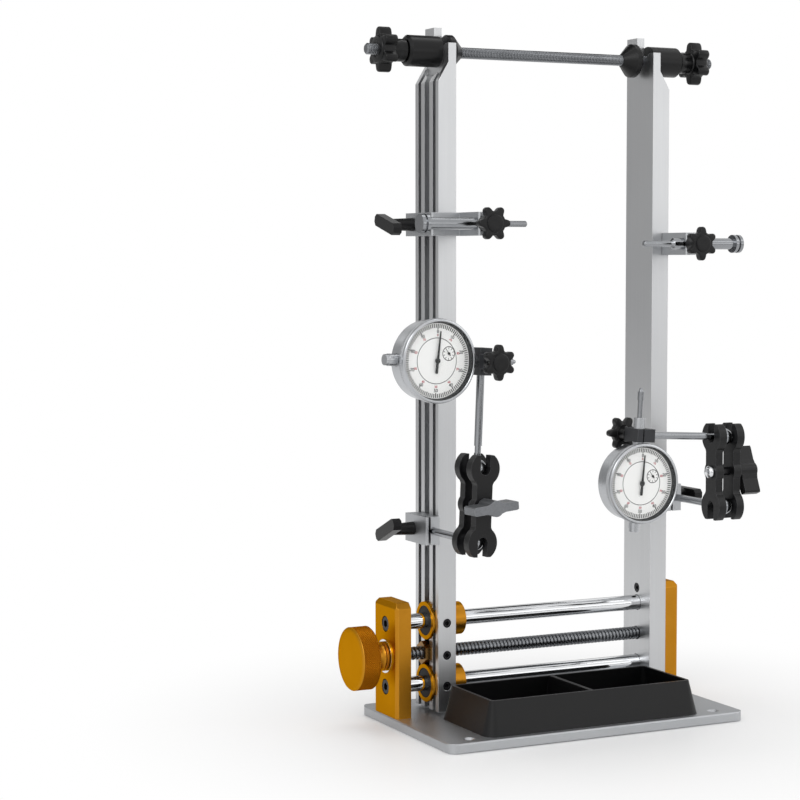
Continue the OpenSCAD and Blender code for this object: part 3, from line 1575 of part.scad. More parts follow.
base_plate();
left_end_plate();
right_end_plate();
guide_rods();
frame_screws();
screw_bearing();
right_upright();
parts_tray();
axle_rod();
right_cone_and_sleeve();
lead_screw();
adjusting_knob();
left_upright();
rod_bushes();
bush_seals();
lead_nut();
set_screws();
left_cone_and_sleeve();
left_axle_knob();
right_axle_knob();
left_feeler_bracket();
left_feeler_screw();
left_feeler_pin();
left_feeler_knob();
right_feeler_bracket();
right_feeler_screw();
right_feeler_pin();
right_feeler_knob();
left_arm_block();
left_arm_screw();
left_lower_rod();
left_arm_plates();
left_arm_lever();
left_upper_rod();
left_dial_clamp();
left_clamp_knob();
right_arm_block();
right_arm_screw();
right_lower_rod();
right_arm_plates();
right_arm_lever();
right_upper_rod();
right_dial_clamp();
right_clamp_knob();
left_dial_case();
left_dial_bezel();
left_dial_face();
left_dial_scale();
left_dial_crystal();
left_needle();
left_small_needle();
left_spindle();
right_dial_case();
right_dial_bezel();
right_dial_face();
right_dial_scale();
right_dial_crystal();
right_needle();
right_small_needle();
right_spindle();
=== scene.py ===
"""Looks for a bench-top wheel truing stand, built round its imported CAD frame.

A piece's sizes are in millimetres until its mesh is made, where MM turns them to metres.
The studio's sizes are in metres.
"""

import json
import logging
import math
from collections.abc import Callable, Sequence
from dataclasses import dataclass, field
from enum import Enum

import bpy
import numpy as np
from mathutils import Matrix, Vector


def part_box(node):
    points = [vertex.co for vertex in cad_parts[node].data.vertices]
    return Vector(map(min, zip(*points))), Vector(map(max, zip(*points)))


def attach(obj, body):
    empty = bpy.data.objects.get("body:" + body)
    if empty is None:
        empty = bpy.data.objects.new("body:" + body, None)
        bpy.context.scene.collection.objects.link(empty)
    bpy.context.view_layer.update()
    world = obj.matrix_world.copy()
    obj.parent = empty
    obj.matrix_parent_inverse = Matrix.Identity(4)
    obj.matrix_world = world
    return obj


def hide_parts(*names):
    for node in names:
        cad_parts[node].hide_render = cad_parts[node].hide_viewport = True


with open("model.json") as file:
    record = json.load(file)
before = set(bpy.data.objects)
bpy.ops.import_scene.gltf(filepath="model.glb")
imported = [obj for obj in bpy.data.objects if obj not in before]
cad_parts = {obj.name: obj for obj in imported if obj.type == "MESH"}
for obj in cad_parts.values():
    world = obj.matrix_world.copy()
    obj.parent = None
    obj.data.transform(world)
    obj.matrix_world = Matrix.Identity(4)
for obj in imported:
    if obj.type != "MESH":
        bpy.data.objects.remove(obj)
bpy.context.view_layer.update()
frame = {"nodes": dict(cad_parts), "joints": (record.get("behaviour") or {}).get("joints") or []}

MM = 0.001
FULL_TURN = 2.0 * math.pi
SHARP_EDGE = math.radians(35.0)
LOG = logging.getLogger("truing_stand")

Vec3 = tuple[float, float, float]
Pair = tuple[float, float]
Tree = bpy.types.NodeTree
Socket = bpy.types.NodeSocket

X_AXIS: Vec3 = (1.0, 0.0, 0.0)
Y_AXIS: Vec3 = (0.0, 1.0, 0.0)
Z_AXIS: Vec3 = (0.0, 0.0, 1.0)
WHITE = (1.0, 1.0, 1.0, 1.0)
SRGB_KNEE, SRGB_SLOPE, SRGB_OFFSET, SRGB_GAMMA = 0.04045, 12.92, 0.055, 2.4


# ---------------------------------------------------------------- colour and nodes
def linear(code: str) -> tuple[float, float, float, float]:
    """Turn an sRGB hex colour into linear red, green, blue and alpha.

    Args:
        code: six hex digits after a hash.
    Returns:
        Four numbers from 0 to 1.
    """
    srgb = np.array([int(code[i : i + 2], 16) for i in (1, 3, 5)]) / 255.0
    bright = ((srgb + SRGB_OFFSET) / (1.0 + SRGB_OFFSET)) ** SRGB_GAMMA
    return (*np.where(srgb <= SRGB_KNEE, srgb / SRGB_SLOPE, bright).tolist(), 1.0)


def add_node(
    tree: Tree, kind: str, settings: dict | None = None, links: dict | None = None,
    out: int | str = 0,
) -> Socket | None:
    """Add one node with its settings and its links.

    Args:
        tree: the tree that gets the node.
        kind: the node's type after "ShaderNode".
        settings: attributes of the node (lower-case names) and values of its inputs.
        links: output sockets to join to the inputs of the given names or numbers.
        out: name or number of the output that is wanted.
    Returns:
        That output, or None where the node has none.
    """
    node = tree.nodes.new("ShaderNode" + kind)
    for key, value in (settings or {}).items():
        if isinstance(key, str) and hasattr(node, key):
            setattr(node, key, value)
        else:
            node.inputs[key].default_value = value
    for key, socket in (links or {}).items():
        tree.links.new(socket, node.inputs[key])
    return node.outputs[out] if node.outputs else None


def ramp(
    tree: Tree, value: Socket, source: Pair, target: Pair = (0.0, 1.0), kind: str = "LINEAR"
) -> Socket:
    """Map one range of a value to another, held at both ends.

    Args:
        tree: the tree that gets the node.
        value: what is mapped.
        source: the range that it comes in.
        target: the range that it leaves in.
        kind: how it runs between the ends.
    Returns:
        The mapped value.
    """
    names = ("From Min", "From Max", "To Min", "To Max")
    settings = {"interpolation_type": kind, **dict(zip(names, source + target))}
    return add_node(tree, "MapRange", settings, {"Value": value})


def make_material(name: str, surface: Callable[[Tree], Socket]) -> bpy.types.Material:
    """Make a material once, or return the one already made.

    Args:
        name: the material's name.
        surface: adds the shader's nodes to a tree and gives back their output.
    Returns:
        The material.
    """
    mat = bpy.data.materials.get(name)
    if mat is None:
        mat = bpy.data.materials.new(name)
        mat.use_nodes = True
        mat.node_tree.nodes.clear()
        add_node(mat.node_tree, "OutputMaterial", None, {"Surface": surface(mat.node_tree)})
    return mat


class Process(Enum):
    """How a surface was made, as its grain's size in millimetres along each axis."""

    EXTRUDED_ALONG_Z = (0.3, 0.3, 120.0)
    BEAD_BLASTED = (0.4, 0.4, 0.4)
    MOULDED = (0.7, 0.7, 0.7)
    POLISHED = (0.9, 0.9, 0.9)
    CAST = (1.3, 1.3, 1.3)


# how the noises act in every finish
GRAIN_DETAIL, GRAIN_ROUGHNESS, CLOUD_DETAIL = 3.0, 0.6, 2.0
GRAIN_SHARE = 0.45  # of the mottling, which the clouds make up to one
MOTTLE_RANGE = (0.3, 0.7)  # noise values that give the two tones unmixed
GLOSS_RANGE = (0.25, 0.75)  # noise values that give the glossiest and the dullest spots
SMOOTHEST = 0.02
BUMP_STRENGTH = 0.6
BEVEL_SAMPLES = 4
EDGE_HIGHLIGHT_RANGE = (0.995, 0.8)  # cosines of the edge's turn where the painted edge highlight starts and is full
EDGE_HIGHLIGHT_SHARE = 0.75


@dataclass(frozen=True)
class Finish:
    """A surface's colour, gloss and grain, from a real material and its making.

    The tones are its light and dark one, and where a third is given, a lighter one painted on
    its edges as a highlight. The gloss is its roughness and how far the grain changes it. The
    sizes, in millimetres, are the grain's relief, the edges' rounding and the clouds.
    """

    name: str
    tones: str
    process: Process
    gloss: Pair
    sizes: Vec3
    metallic: float = 0.0
    specular: float = 0.5
    rim_tint: str = "#ffffff"

    def build(self) -> bpy.types.Material:
        """Make the material once, or return the one already made."""
        return make_material(self.name, self.surface)

    def surface(self, tree: Tree) -> Socket:
        """Shader whose tone follows clouds and grain, with any painted edge highlight, and whose
        gloss follows the grain.
        """
        light, dark, *edge_highlight = (linear(tone) for tone in self.tones.split())
        bump_mm, edge_mm, cloud_mm = self.sizes
        roughness, spread = self.gloss
        place = add_node(tree, "TexCoord", out="Object")
        sizes = tuple(1.0 / (MM * s) for s in self.process.value)
        grain = add_node(
            tree, "TexNoise",
            {"Scale": 1.0, "Detail": GRAIN_DETAIL, "Roughness": GRAIN_ROUGHNESS},
            {"Vector": add_node(tree, "Mapping", {"Scale": sizes}, {"Vector": place})},
        )
        cloud = add_node(
            tree, "TexNoise", {"Scale": 1.0 / (MM * cloud_mm), "Detail": CLOUD_DETAIL},
            {"Vector": place},
        )
        mottle = add_node(
            tree, "Mix", {"data_type": "FLOAT", 0: GRAIN_SHARE}, {2: cloud, 3: grain}
        )
        tones = {"data_type": "RGBA", 6: light, 7: dark}
        colour = add_node(tree, "Mix", tones, {0: ramp(tree, mottle, MOTTLE_RANGE)}, 2)
        rounded = add_node(tree, "Bevel", {"samples": BEVEL_SAMPLES, "Radius": MM * edge_mm})
        if edge_highlight:
            # painted highlight along the edges: the rounded normal leaves the true one there
            sides = {0: rounded, 1: add_node(tree, "NewGeometry", out="True Normal")}
            along = add_node(
                tree, "VectorMath", {"operation": "DOT_PRODUCT"}, sides, "Value"
            )
            share = ramp(tree, along, EDGE_HIGHLIGHT_RANGE, (0.0, EDGE_HIGHLIGHT_SHARE))
            tones = {"data_type": "RGBA", 7: edge_highlight[0]}
            colour = add_node(tree, "Mix", tones, {0: share, 6: colour}, 2)
        gloss = (max(roughness - spread, SMOOTHEST), roughness + spread)
        bump = add_node(
            tree, "Bump", {"Strength": BUMP_STRENGTH, "Distance": MM * bump_mm},
            {"Height": grain, "Normal": rounded},
        )
        return add_node(
            tree, "BsdfPrincipled",
            {
                "Metallic": self.metallic, "Specular IOR Level": self.specular,
                "Specular Tint": linear(self.rim_tint),
            },
            {
                "Base Color": colour, "Normal": bump,
                "Roughness": ramp(tree, grain, GLOSS_RANGE, gloss),
            },
        )


@dataclass(frozen=True)
class Crystal:
    """Clear acrylic dial glass, moulded thin: it shows as a faint sheen over the face."""

    name: str = "clear_acrylic"
    tint: str = "#f4f8f8"
    cover: float = 0.03
    ior: float = 1.49
    haze_per_m: float = 220.0
    haze_detail: float = 1.0
    gloss: Pair = (0.01, 0.06)

    def build(self) -> bpy.types.Material:
        """Make the see-through material once, or return the one already made."""
        return make_material(self.name, self.surface)

    def surface(self, tree: Tree) -> Socket:
        """Thinly covering shader whose gloss varies a little."""
        haze = add_node(
            tree, "TexNoise", {"Scale": self.haze_per_m, "Detail": self.haze_detail},
            {"Vector": add_node(tree, "TexCoord", out="Object")},
        )
        return add_node(
            tree, "BsdfPrincipled",
            {"Base Color": linear(self.tint), "Alpha": self.cover, "IOR": self.ior},
            {"Roughness": ramp(tree, haze, (0.0, 1.0), self.gloss)},
        )


# a finish's third tone, where it has one, is a painted highlight along its edges
# satin anodised 6063 section: fine die lines up its length
EXTRUDED = Finish(
    "satin_extruded_aluminium", "#cccdce #c0c1c3 #e6e7e9", Process.EXTRUDED_ALONG_Z,
    gloss=(0.36, 0.06), sizes=(0.006, 0.35, 120.0), metallic=1.0,
)
# milled and bead-blasted plate: even silver with a soft sparkle
BLASTED = Finish(
    "blasted_aluminium", "#bcbec0 #adafb2 #e2e3e5", Process.BEAD_BLASTED,
    gloss=(0.42, 0.08), sizes=(0.012, 0.4, 60.0), metallic=1.0,
)
# anodised and dyed gold over a blasted face: warm, with a painted highlight on its edges
GOLD = Finish(
    "gold_anodised_aluminium", "#c3872a #b3781c #f0b64c", Process.BEAD_BLASTED,
    gloss=(0.36, 0.07), sizes=(0.01, 0.5, 35.0), metallic=1.0, rim_tint="#f3d492",
)
# the same gold on the rolled diamonds, painted darker to stand for the shade in the grooves
GOLD_KNURL_PAINTED_SHADE = Finish(
    "gold_knurl_painted_shade", "#a96a12 #8f540a", Process.BEAD_BLASTED,
    gloss=(0.42, 0.07), sizes=(0.01, 0.12, 35.0), metallic=1.0, rim_tint="#e0b060",
)
# hard chromed and ground shaft: mirror-like, with faint grinding haze
CHROME = Finish(
    "hard_chrome", "#e4e5e7 #d8dadc", Process.POLISHED,
    gloss=(0.07, 0.03), sizes=(0.001, 0.25, 45.0), metallic=1.0,
)
# ground and lightly oiled steel of the pins and ball rods: darker than the chrome
GROUND_STEEL = Finish(
    "ground_tool_steel", "#9b9da0 #85878a", Process.POLISHED,
    gloss=(0.16, 0.05), sizes=(0.002, 0.2, 45.0), metallic=1.0,
)
# rolled and zinc-plated thread: mid grey with soft reflections
THREAD_STEEL = Finish(
    "rolled_thread_steel", "#8d8f92 #6d6f72", Process.POLISHED,
    gloss=(0.24, 0.08), sizes=(0.004, 0.15, 45.0), metallic=1.0,
)
# black oxide on alloy screws: almost black with a soft metal sheen
BLACK_OXIDE = Finish(
    "black_oxide_steel", "#2a2a2d #1c1c1f #6c6d70", Process.BEAD_BLASTED,
    gloss=(0.36, 0.08), sizes=(0.006, 0.2, 45.0), metallic=0.7,
)
# glass-filled nylon knobs: deep black, slightly grainy, with a painted highlight on the edges
BLACK_NYLON = Finish(
    "black_moulded_nylon", "#0b0b0c #060607 #303033", Process.MOULDED,
    gloss=(0.33, 0.07), sizes=(0.02, 0.45, 25.0), specular=0.28,
)
# moulded ABS tray with a spark-eroded grain: an even dark matt
TRAY_ABS = Finish(
    "black_grained_abs", "#0c0c0d #080809 #37373a", Process.MOULDED,
    gloss=(0.42, 0.07), sizes=(0.03, 0.5, 50.0), specular=0.3,
)
# cast and black-coated alloy: an orange-peel skin that catches light on its edges
BLACK_CAST = Finish(
    "black_coated_casting", "#0d0d0e #08080a #515154", Process.CAST,
    gloss=(0.36, 0.1), sizes=(0.06, 0.6, 14.0), metallic=0.1, specular=0.35,
)
# bare zinc die casting: mid grey with a cloudy skin
GREY_ZINC = Finish(
    "grey_zinc_casting", "#7f8184 #6c6e71 #a9abad", Process.CAST,
    gloss=(0.42, 0.1), sizes=(0.03, 0.5, 12.0), metallic=0.75,
)
# blackened and tumbled steel clamp: charcoal with softened edges
CHARCOAL = Finish(
    "charcoal_blackened_steel", "#38393c #2a2b2e #77797c", Process.BEAD_BLASTED,
    gloss=(0.4, 0.08), sizes=(0.012, 0.45, 15.0), metallic=0.5,
)
# nitrile wiper: matt black
NITRILE = Finish(
    "black_nitrile", "#101011 #0b0b0c", Process.MOULDED,
    gloss=(0.62, 0.06), sizes=(0.02, 0.3, 45.0),
)
# turned bronze nut: brown-gold with brighter edges
BRONZE = Finish(
    "turned_bronze", "#94703f #7b5b30 #c59c62", Process.BEAD_BLASTED,
    gloss=(0.3, 0.08), sizes=(0.008, 0.3, 10.0), metallic=1.0,
)
# satin-chromed dial case: soft grey reflections, bright edges
DIAL_SATIN = Finish(
    "satin_chromed_brass", "#bfc1c4 #acaeb1 #e9eaeb", Process.BEAD_BLASTED,
    gloss=(0.27, 0.07), sizes=(0.006, 0.25, 20.0), metallic=1.0,
)
# inner wall of the bezel: the turned metal painted dark, as painted reflection and shade of its
# own recess
DIAL_WALL_PAINTED_SHADE = Finish(
    "bezel_wall_painted_shade", "#37383a #28292b", Process.POLISHED,
    gloss=(0.3, 0.06), sizes=(0.003, 0.15, 45.0), metallic=1.0,
)
# silk-screened dial: matt white lacquer on brass, with matt inks
WHITE_LACQUER = Finish(
    "white_dial_lacquer", "#fcfcfb #f8f8f6", Process.MOULDED,
    gloss=(0.5, 0.04), sizes=(0.002, 0.05, 18.0),
)
BLACK_INK = Finish(
    "black_dial_ink", "#0a0a0b #070708", Process.MOULDED,
    gloss=(0.6, 0.04), sizes=(0.001, 0.02, 45.0), specular=0.12,
)
RED_INK = Finish(
    "red_dial_ink", "#b5404a #a8343e", Process.MOULDED,
    gloss=(0.5, 0.04), sizes=(0.001, 0.02, 45.0),
)
CRYSTAL = Crystal()

# the CAD nodes of each finish, where a name without its side counts for both sides
NODES: dict[Finish | Crystal, str] = {
    BLASTED: "base_plate feeler_bracket arm_block",
    GOLD: "end_plate adjusting_knob rod_bushes",
    CHROME: "guide_rods screw_bearing",
    EXTRUDED: "upright",
    THREAD_STEEL: "axle_rod lead_screw",
    GROUND_STEEL: "feeler_pin lower_rod upper_rod spindle",
    BLACK_OXIDE: "frame_screws set_screws",
    BLACK_NYLON: "cone_and_sleeve axle_knob feeler_screw feeler_knob arm_screw clamp_knob",
    TRAY_ABS: "parts_tray",
    BLACK_CAST: "right_arm_lever arm_plates",
    GREY_ZINC: "left_arm_lever",
    CHARCOAL: "dial_clamp",
    NITRILE: "bush_seals",
    BRONZE: "lead_nut",
    DIAL_SATIN: "dial_case dial_bezel",
    WHITE_LACQUER: "dial_face dial_scale",
    BLACK_INK: "needle small_needle",
    CRYSTAL: "dial_crystal",
}


# ---------------------------------------------------------------- meshes
@dataclass
class Shape:
    """Corners and faces of a mesh, with one finish number per face."""

    corners: np.ndarray
    quads: list[np.ndarray] = field(default_factory=list)
    numbers: list[np.ndarray] = field(default_factory=list)

    @staticmethod
    def joined(parts: "list[Shape]") -> "Shape":
        """Put several shapes into one mesh, each keeping its own corners."""
        whole = Shape(np.vstack([p.corners for p in parts]))
        start = 0
        for part in parts:
            whole.quads += [q + start for q in part.quads]
            whole.numbers += part.numbers
            start += len(part.corners)
        return whole

    def moved(self, place: "Place") -> "Shape":
        """The same shape carried into a place's axes."""
        return Shape(place.carry(self.corners), self.quads, self.numbers)

    def volume(self) -> float:
        """Signed volume, which is negative where the faces point inwards."""
        total = 0.0
        for faces in self.quads:
            a = self.corners[faces[:, 0]]
            for k in range(1, faces.shape[1] - 1):
                b, c = self.corners[faces[:, k]], self.corners[faces[:, k + 1]]
                total += float(np.einsum("ij,ij->i", a, np.cross(b, c)).sum()) / 6.0
        return total

    def outward(self) -> "Shape":
        """The shape with its faces turned outwards."""
        if self.volume() < 0.0:
            self.quads = [q[:, ::-1] for q in self.quads]
        return self


@dataclass(frozen=True)
class Place:
    """A local frame in the stand's frame, in millimetres: a point and three axes."""

    point: Vec3
    across: Vec3
    back: Vec3
    up: Vec3

    def carry(self, local: np.ndarray) -> np.ndarray:
        """Turn local points (n, 3) into points of the stand's frame."""
        axes = np.array([self.across, self.back, self.up])
        return np.asarray(local, float) @ axes + np.array(self.point)

    @staticmethod
    def along(point: np.ndarray, axis: np.ndarray, side: Vec3) -> "Place":
        """A frame whose up axis is the given one and whose first leans to side."""
        up = np.array(axis, float) / np.linalg.norm(axis)
        side = np.array(side) - up * (up @ np.array(side))
        side /= np.linalg.norm(side)
        return Place(tuple(point), tuple(side), tuple(np.cross(up, side)), tuple(up))


def joint(name: str) -> dict:
    """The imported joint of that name."""
    return next(j for j in frame["joints"] if j["name"] == name)


def joint_point(name: str) -> np.ndarray:
    """A joint's point in millimetres."""
    return np.array(joint(name)["pos_m"]) / MM


def joint_axis(name: str) -> np.ndarray:
    """A joint's axis as a unit vector."""
    axis = np.array(joint(name)["axis"], float)
    return axis / np.linalg.norm(axis)


def box_mm(node: str) -> tuple[np.ndarray, np.ndarray]:
    """Lowest and highest corner of a CAD node, in millimetres."""
    low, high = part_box(node)
    return np.array(low) / MM, np.array(high) / MM


def angles(columns: int, turns: float = 1.0) -> np.ndarray:
    """Evenly spaced angles from zero up to, but without, the given number of turns."""
    return np.linspace(0.0, turns * FULL_TURN, columns, endpoint=False)


def skin(grid: np.ndarray, loop_rows: bool, numbers: np.ndarray | int = 0) -> Shape:
    """Close a grid of points into a surface that wraps round its columns.

    The grid holds one ring of points per row. Rows join one to the next, and the last
    joins the first where loop_rows is true; otherwise each end gets a fan to its middle.

    Args:
        grid: points of shape (rows, columns, 3).
        loop_rows: whether the rows themselves form a loop, as round a bore.
        numbers: finish number of all faces, or one per band of faces between rows.
    Returns:
        The closed shape, with its faces turned outwards.
    """
    rows, cols = grid.shape[:2]
    corners = grid.reshape(-1, 3)
    bands = rows if loop_rows else rows - 1
    i, j = np.meshgrid(np.arange(bands), np.arange(cols), indexing="ij")
    here, ahead = i * cols, ((i + 1) % rows) * cols
    nxt = (j + 1) % cols
    quads = np.stack([here + j, here + nxt, ahead + nxt, ahead + j], -1).reshape(-1, 4)
    per_band = np.broadcast_to(np.asarray(numbers), (bands,))
    shape = Shape(corners, [quads], [np.repeat(per_band, cols)])
    if not loop_rows:
        ends = np.array([grid[0].mean(0), grid[-1].mean(0)])
        k = np.arange(cols)
        start, last = len(corners), (rows - 1) * cols
        fan_a = np.stack([(k + 1) % cols, k, np.full(cols, start)], -1)
        fan_b = np.stack([last + k, last + (k + 1) % cols, np.full(cols, start + 1)], -1)
        shape.corners = np.vstack([corners, ends])
        shape.quads.append(np.vstack([fan_a, fan_b]))
        shape.numbers.append(np.repeat(per_band[[0, -1]], cols))
    return shape.outward()


def round_grid(radius: np.ndarray, height: np.ndarray) -> np.ndarray:
    """Points (r cos a, r sin a, h) of rows about the up axis.

    Args:
        radius: radii r of shape (rows, columns), the columns evenly round the axis.
        height: one height h per row, of shape (rows, 1).
    Returns:
        Points of shape (rows, columns, 3).
    """
    angle, level = angles(radius.shape[1]), np.broadcast_to(height, radius.shape)
    return np.stack([radius * np.cos(angle), radius * np.sin(angle), level], -1)


def turned(
    profile: Sequence[Pair],
    columns: int,
    loop_rows: bool = False,
    numbers: np.ndarray | int = 0,
    relief: np.ndarray | None = None,
) -> Shape:
    """Turn a profile about the up axis.

    Args:
        profile: radius and height of each row, in millimetres.
        columns: points round the axis.
        loop_rows: whether the profile is a closed loop.
        numbers: finish numbers, as in skin().
        relief: change of radius of shape (rows, columns).
    Returns:
        The closed shape in its own frame.
    """
    rows = np.array(profile, float)
    change = np.zeros((len(rows), columns)) if relief is None else relief
    return skin(round_grid(rows[:, :1] + change, rows[:, 1:]), loop_rows, numbers)


def blocks(centres: np.ndarray, halves: np.ndarray, turns: np.ndarray) -> Shape:
    """Flat bars lying on a dial's face, as closed boxes.

    Each bar's corner is its centre plus its half sizes times the signs of the corner,
    turned clockwise in the face by its angle.

    Args:
        centres: (n, 3) points in the dial's frame, across, back and up.
        halves: (n, 3) half sizes.
        turns: (n,) angles in radians.
    Returns:
        One shape with all the bars.
    """
    signs = np.array([[x, y, z] for x in (-1, 1) for y in (-1, 1) for z in (-1, 1)], float)
    local = signs[None] * halves[:, None]
    c, s = np.cos(turns)[:, None], np.sin(turns)[:, None]
    x = local[..., 0] * c + local[..., 2] * s
    z = local[..., 2] * c - local[..., 0] * s
    points = np.stack([x, local[..., 1], z], -1) + centres[:, None]
    faces = np.array(
        [[0, 1, 3, 2], [4, 6, 7, 5], [0, 4, 5, 1], [2, 3, 7, 6], [0, 2, 6, 4], [1, 5, 7, 3]]
    )
    quads = faces[None] + len(signs) * np.arange(len(centres))[:, None, None]
    quads = quads.reshape(-1, 4)
    return Shape(points.reshape(-1, 3), [quads], [np.zeros(len(quads), int)]).outward()


def add_piece(
    name: str,
    shape: Shape,
    finishes: list[Finish | Crystal],
    body: str,
    stands_for: str = "",
) -> None:
    """Make an object of a shape, dress it and let it ride on its body.

    Args:
        name: the piece's name.
        shape: corners in millimetres, in the stand's frame.
        finishes: materials by the shape's finish numbers.
        body: the CAD body that it moves with.
        stands_for: the CAD node that it replaces, if any.
    """
    mesh = bpy.data.meshes.new(name)
    faces = [f for group in shape.quads for f in group.tolist()]
    mesh.from_pydata((shape.corners * MM).tolist(), [], faces)
    for finish in finishes:
        mesh.materials.append(finish.build())
    numbers = np.concatenate(shape.numbers).astype(np.int32)
    mesh.polygons.foreach_set("material_index", numbers)
    mesh.polygons.foreach_set("use_smooth", np.ones(len(mesh.polygons), bool))
    mesh.update()
    mesh.set_sharp_from_angle(angle=SHARP_EDGE)
    piece = bpy.data.objects.new(name, mesh)
    bpy.context.scene.collection.objects.link(piece)
    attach(piece, body)
    if stands_for:
        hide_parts(stands_for)
    LOG.info("%s: %d faces on %s", name, len(mesh.polygons), body)


# ---------------------------------------------------------------- threads and knurls
@dataclass(frozen=True)
class Thread:
    """A right-hand thread on a rod."""

    radius: float
    pitch: float
    depth: float
    fade: float
    rows_per_pitch: int
    columns: int
    root_to: float = 0.1
    crest_from: float = 0.5

    def relief(self, heights: np.ndarray) -> np.ndarray:
        """Change of radius that cuts the thread.

        The groove's depth depends on the height along the axis less the angle's share of
        one pitch: flat at the crest, sloping, and flat at the root. It fades at both ends.

        Args:
            heights: height of each row.
        Returns:
            Array of shape (rows, columns), from -depth to 0.
        """
        phase = (heights[:, None] / self.pitch - angles(self.columns) / FULL_TURN) % 1.0
        slope = self.crest_from - np.abs(2.0 * phase - 1.0)
        slope /= self.crest_from - self.root_to
        ends = np.minimum(heights - heights[0], heights[-1] - heights)
        shown = np.clip(ends / self.fade, 0.0, 1.0)[:, None]
        return -self.depth * np.clip(slope, 0.0, 1.0) * shown

    def rod(self, ends: Pair, before: list[Pair], after: list[Pair]) -> Shape:
        """A rod with the thread between two heights.

        Args:
            ends: the thread's heights.
            before: radius and height of the rows before it.
            after: radius and height of the rows after it.
        Returns:
            The closed rod about its own up axis.
        """
        count = int((ends[1] - ends[0]) / self.pitch * self.rows_per_pitch)
        heights = np.linspace(*ends, count)
        profile = before + [(self.radius, h) for h in heights] + after
        relief = np.zeros((len(profile), self.columns))
        relief[len(before) : -len(after)] = self.relief(heights)
        return turned(profile, self.columns, relief=relief)


def diamond_relief(
    heights: np.ndarray, columns: int, count: int, radius: float, depth: float,
    power: float = 1.5,
) -> np.ndarray:
    """Change of radius that rolls a diamond knurl.

    Two families of slanting grooves cross: each groove's depth falls off evenly from its
    middle, and the deeper of the two counts.

    Args:
        heights: height of each row.
        columns: points round the axis.
        count: diamonds round the rim.
        radius: the rim's radius.
        depth: depth of the grooves.
        power: sharpness of the grooves, where one gives straight flanks.
    Returns:
        Array of shape (rows, columns), from -depth to 0.
    """
    turn = angles(columns)[None] / FULL_TURN * count
    rise = heights[:, None] * count / (FULL_TURN * radius)
    one, two = (np.abs(2.0 * (at % 1.0) - 1.0) for at in (turn + rise, turn - rise))
    return -depth * (1.0 - np.minimum(one, two)) ** power


@dataclass(frozen=True)
class Star:
    """Outline of a lobed knob, with its sizes as shares of the diameter."""

    lobe: float = 0.11
    hollow: float = 0.19
    hollow_out: float = 0.55
    core: float = 0.345
    lobes: int = 6
    columns_per_blur: int = 90
    least: float = 1e-6

    def radius(self, diameter: float, columns: int) -> np.ndarray:
        """The outline as a radius at each angle.

        It is the farthest reach along the ray of the lobe's disc, the lobe's straight
        flanks and the core, cut back where the ray meets the hollow between lobes, then
        smoothed.

        Args:
            diameter: across the lobes.
            columns: points round the axis.
        Returns:
            One radius per column.
        """
        lobe_r, hollow_r = self.lobe * diameter, self.hollow * diameter
        lobe_c, hollow_c = diameter / 2.0 - lobe_r, self.hollow_out * diameter
        half = math.pi / self.lobes
        off = np.abs((angles(columns) + half) % (2.0 * half) - half)
        sine, cosine = np.sin(off), np.cos(off)
        reach = lobe_r**2 - (lobe_c * sine) ** 2
        lobe = np.where(reach > 0, lobe_c * cosine + np.sqrt(np.maximum(reach, 0)), 0)
        flank = np.minimum(
            lobe_r / np.maximum(sine, self.least), lobe_c / np.maximum(cosine, self.least)
        )
        outline = np.maximum(np.maximum(lobe, flank), self.core * diameter)
        hole = hollow_r**2 - (hollow_c * np.sin(half - off)) ** 2
        near = hollow_c * np.cos(half - off) - np.sqrt(np.maximum(hole, 0))
        outline = np.minimum(outline, np.where(hole > 0, near, diameter))
        width = max(columns // self.columns_per_blur, 1)
        window = np.hanning(2 * width + 3)[1:-1]
        wrapped = np.concatenate([outline[-width:], outline, outline[:width]])
        return np.convolve(wrapped, window / window.sum(), mode="valid")


@dataclass(frozen=True)
class Ring:
    """One row of a lobed knob: its height, plain radius, lobe share and inset."""

    height: float
    radius: float
    lobed: float = 0.0
    inset: float = 0.0


def lobed_knob(
    rings: list[Ring], diameter: float, columns: int, loop: bool, numbers: np.ndarray
) -> Shape:
    """Skin a knob whose rows pass from round to lobed and back.

    A row's radius is its plain radius times what its lobe share leaves, plus the lobed
    outline less the row's inset times that share.

    Args:
        rings: the rows from the seat outwards.
        diameter: across the lobes.
        columns: points round the axis.
        loop: whether the rows close round a bore.
        numbers: finish number of each band.
    Returns:
        The closed shape about its own up axis.
    """
    star = Star().radius(diameter, columns)
    h, r, share, inset = (
        np.array([getattr(q, k) for q in rings])[:, None]
        for k in ("height", "radius", "lobed", "inset")
    )
    radius = r * (1.0 - share) + (star[None] - inset) * share
    return skin(round_grid(radius, h), loop, numbers)


def lobed_head(low: float, top: float, edge: float, steps: int = 4) -> list[Ring]:
    """Fully lobed rows of a knob's head, with a quarter circle round both its edges.

    Args:
        low: height of the head's back.
        top: height of its face.
        edge: radius of the edges.
        steps: rows of each quarter.
    Returns:
        The rows from the back to the face.
    """
    turns = np.linspace(0.0, FULL_TURN / 4.0, steps)
    rows = [(edge * (1.0 - math.sin(t)), edge * (1.0 - math.cos(t))) for t in turns]
    back = [Ring(low + rise, 0.0, 1.0, inset) for rise, inset in reversed(rows)]
    return back + [Ring(top - drop, 0.0, 1.0, inset) for drop, inset in rows]


# ---------------------------------------------------------------- sub-assemblies
# the adjusting knob's section, as radius and height over its seat: bore and collar,
KNOB_FOOT = ((4.05, 19.0), (4.05, 0.0), (10.1, 0.0), (10.5, 0.4), (10.5, 1.9))
# past the waist the back of the rim, and past the knurl its face
KNOB_BACK = ((12.7, 11.75), (21.3, 12.0), (22.1, 12.25), (22.6, 12.8))
KNOB_FACE = (
    (22.6, 25.2), (22.3, 25.7), (21.7, 26.0), (18.08, 26.0), (11.3, 26.0), (4.52, 26.0)
)


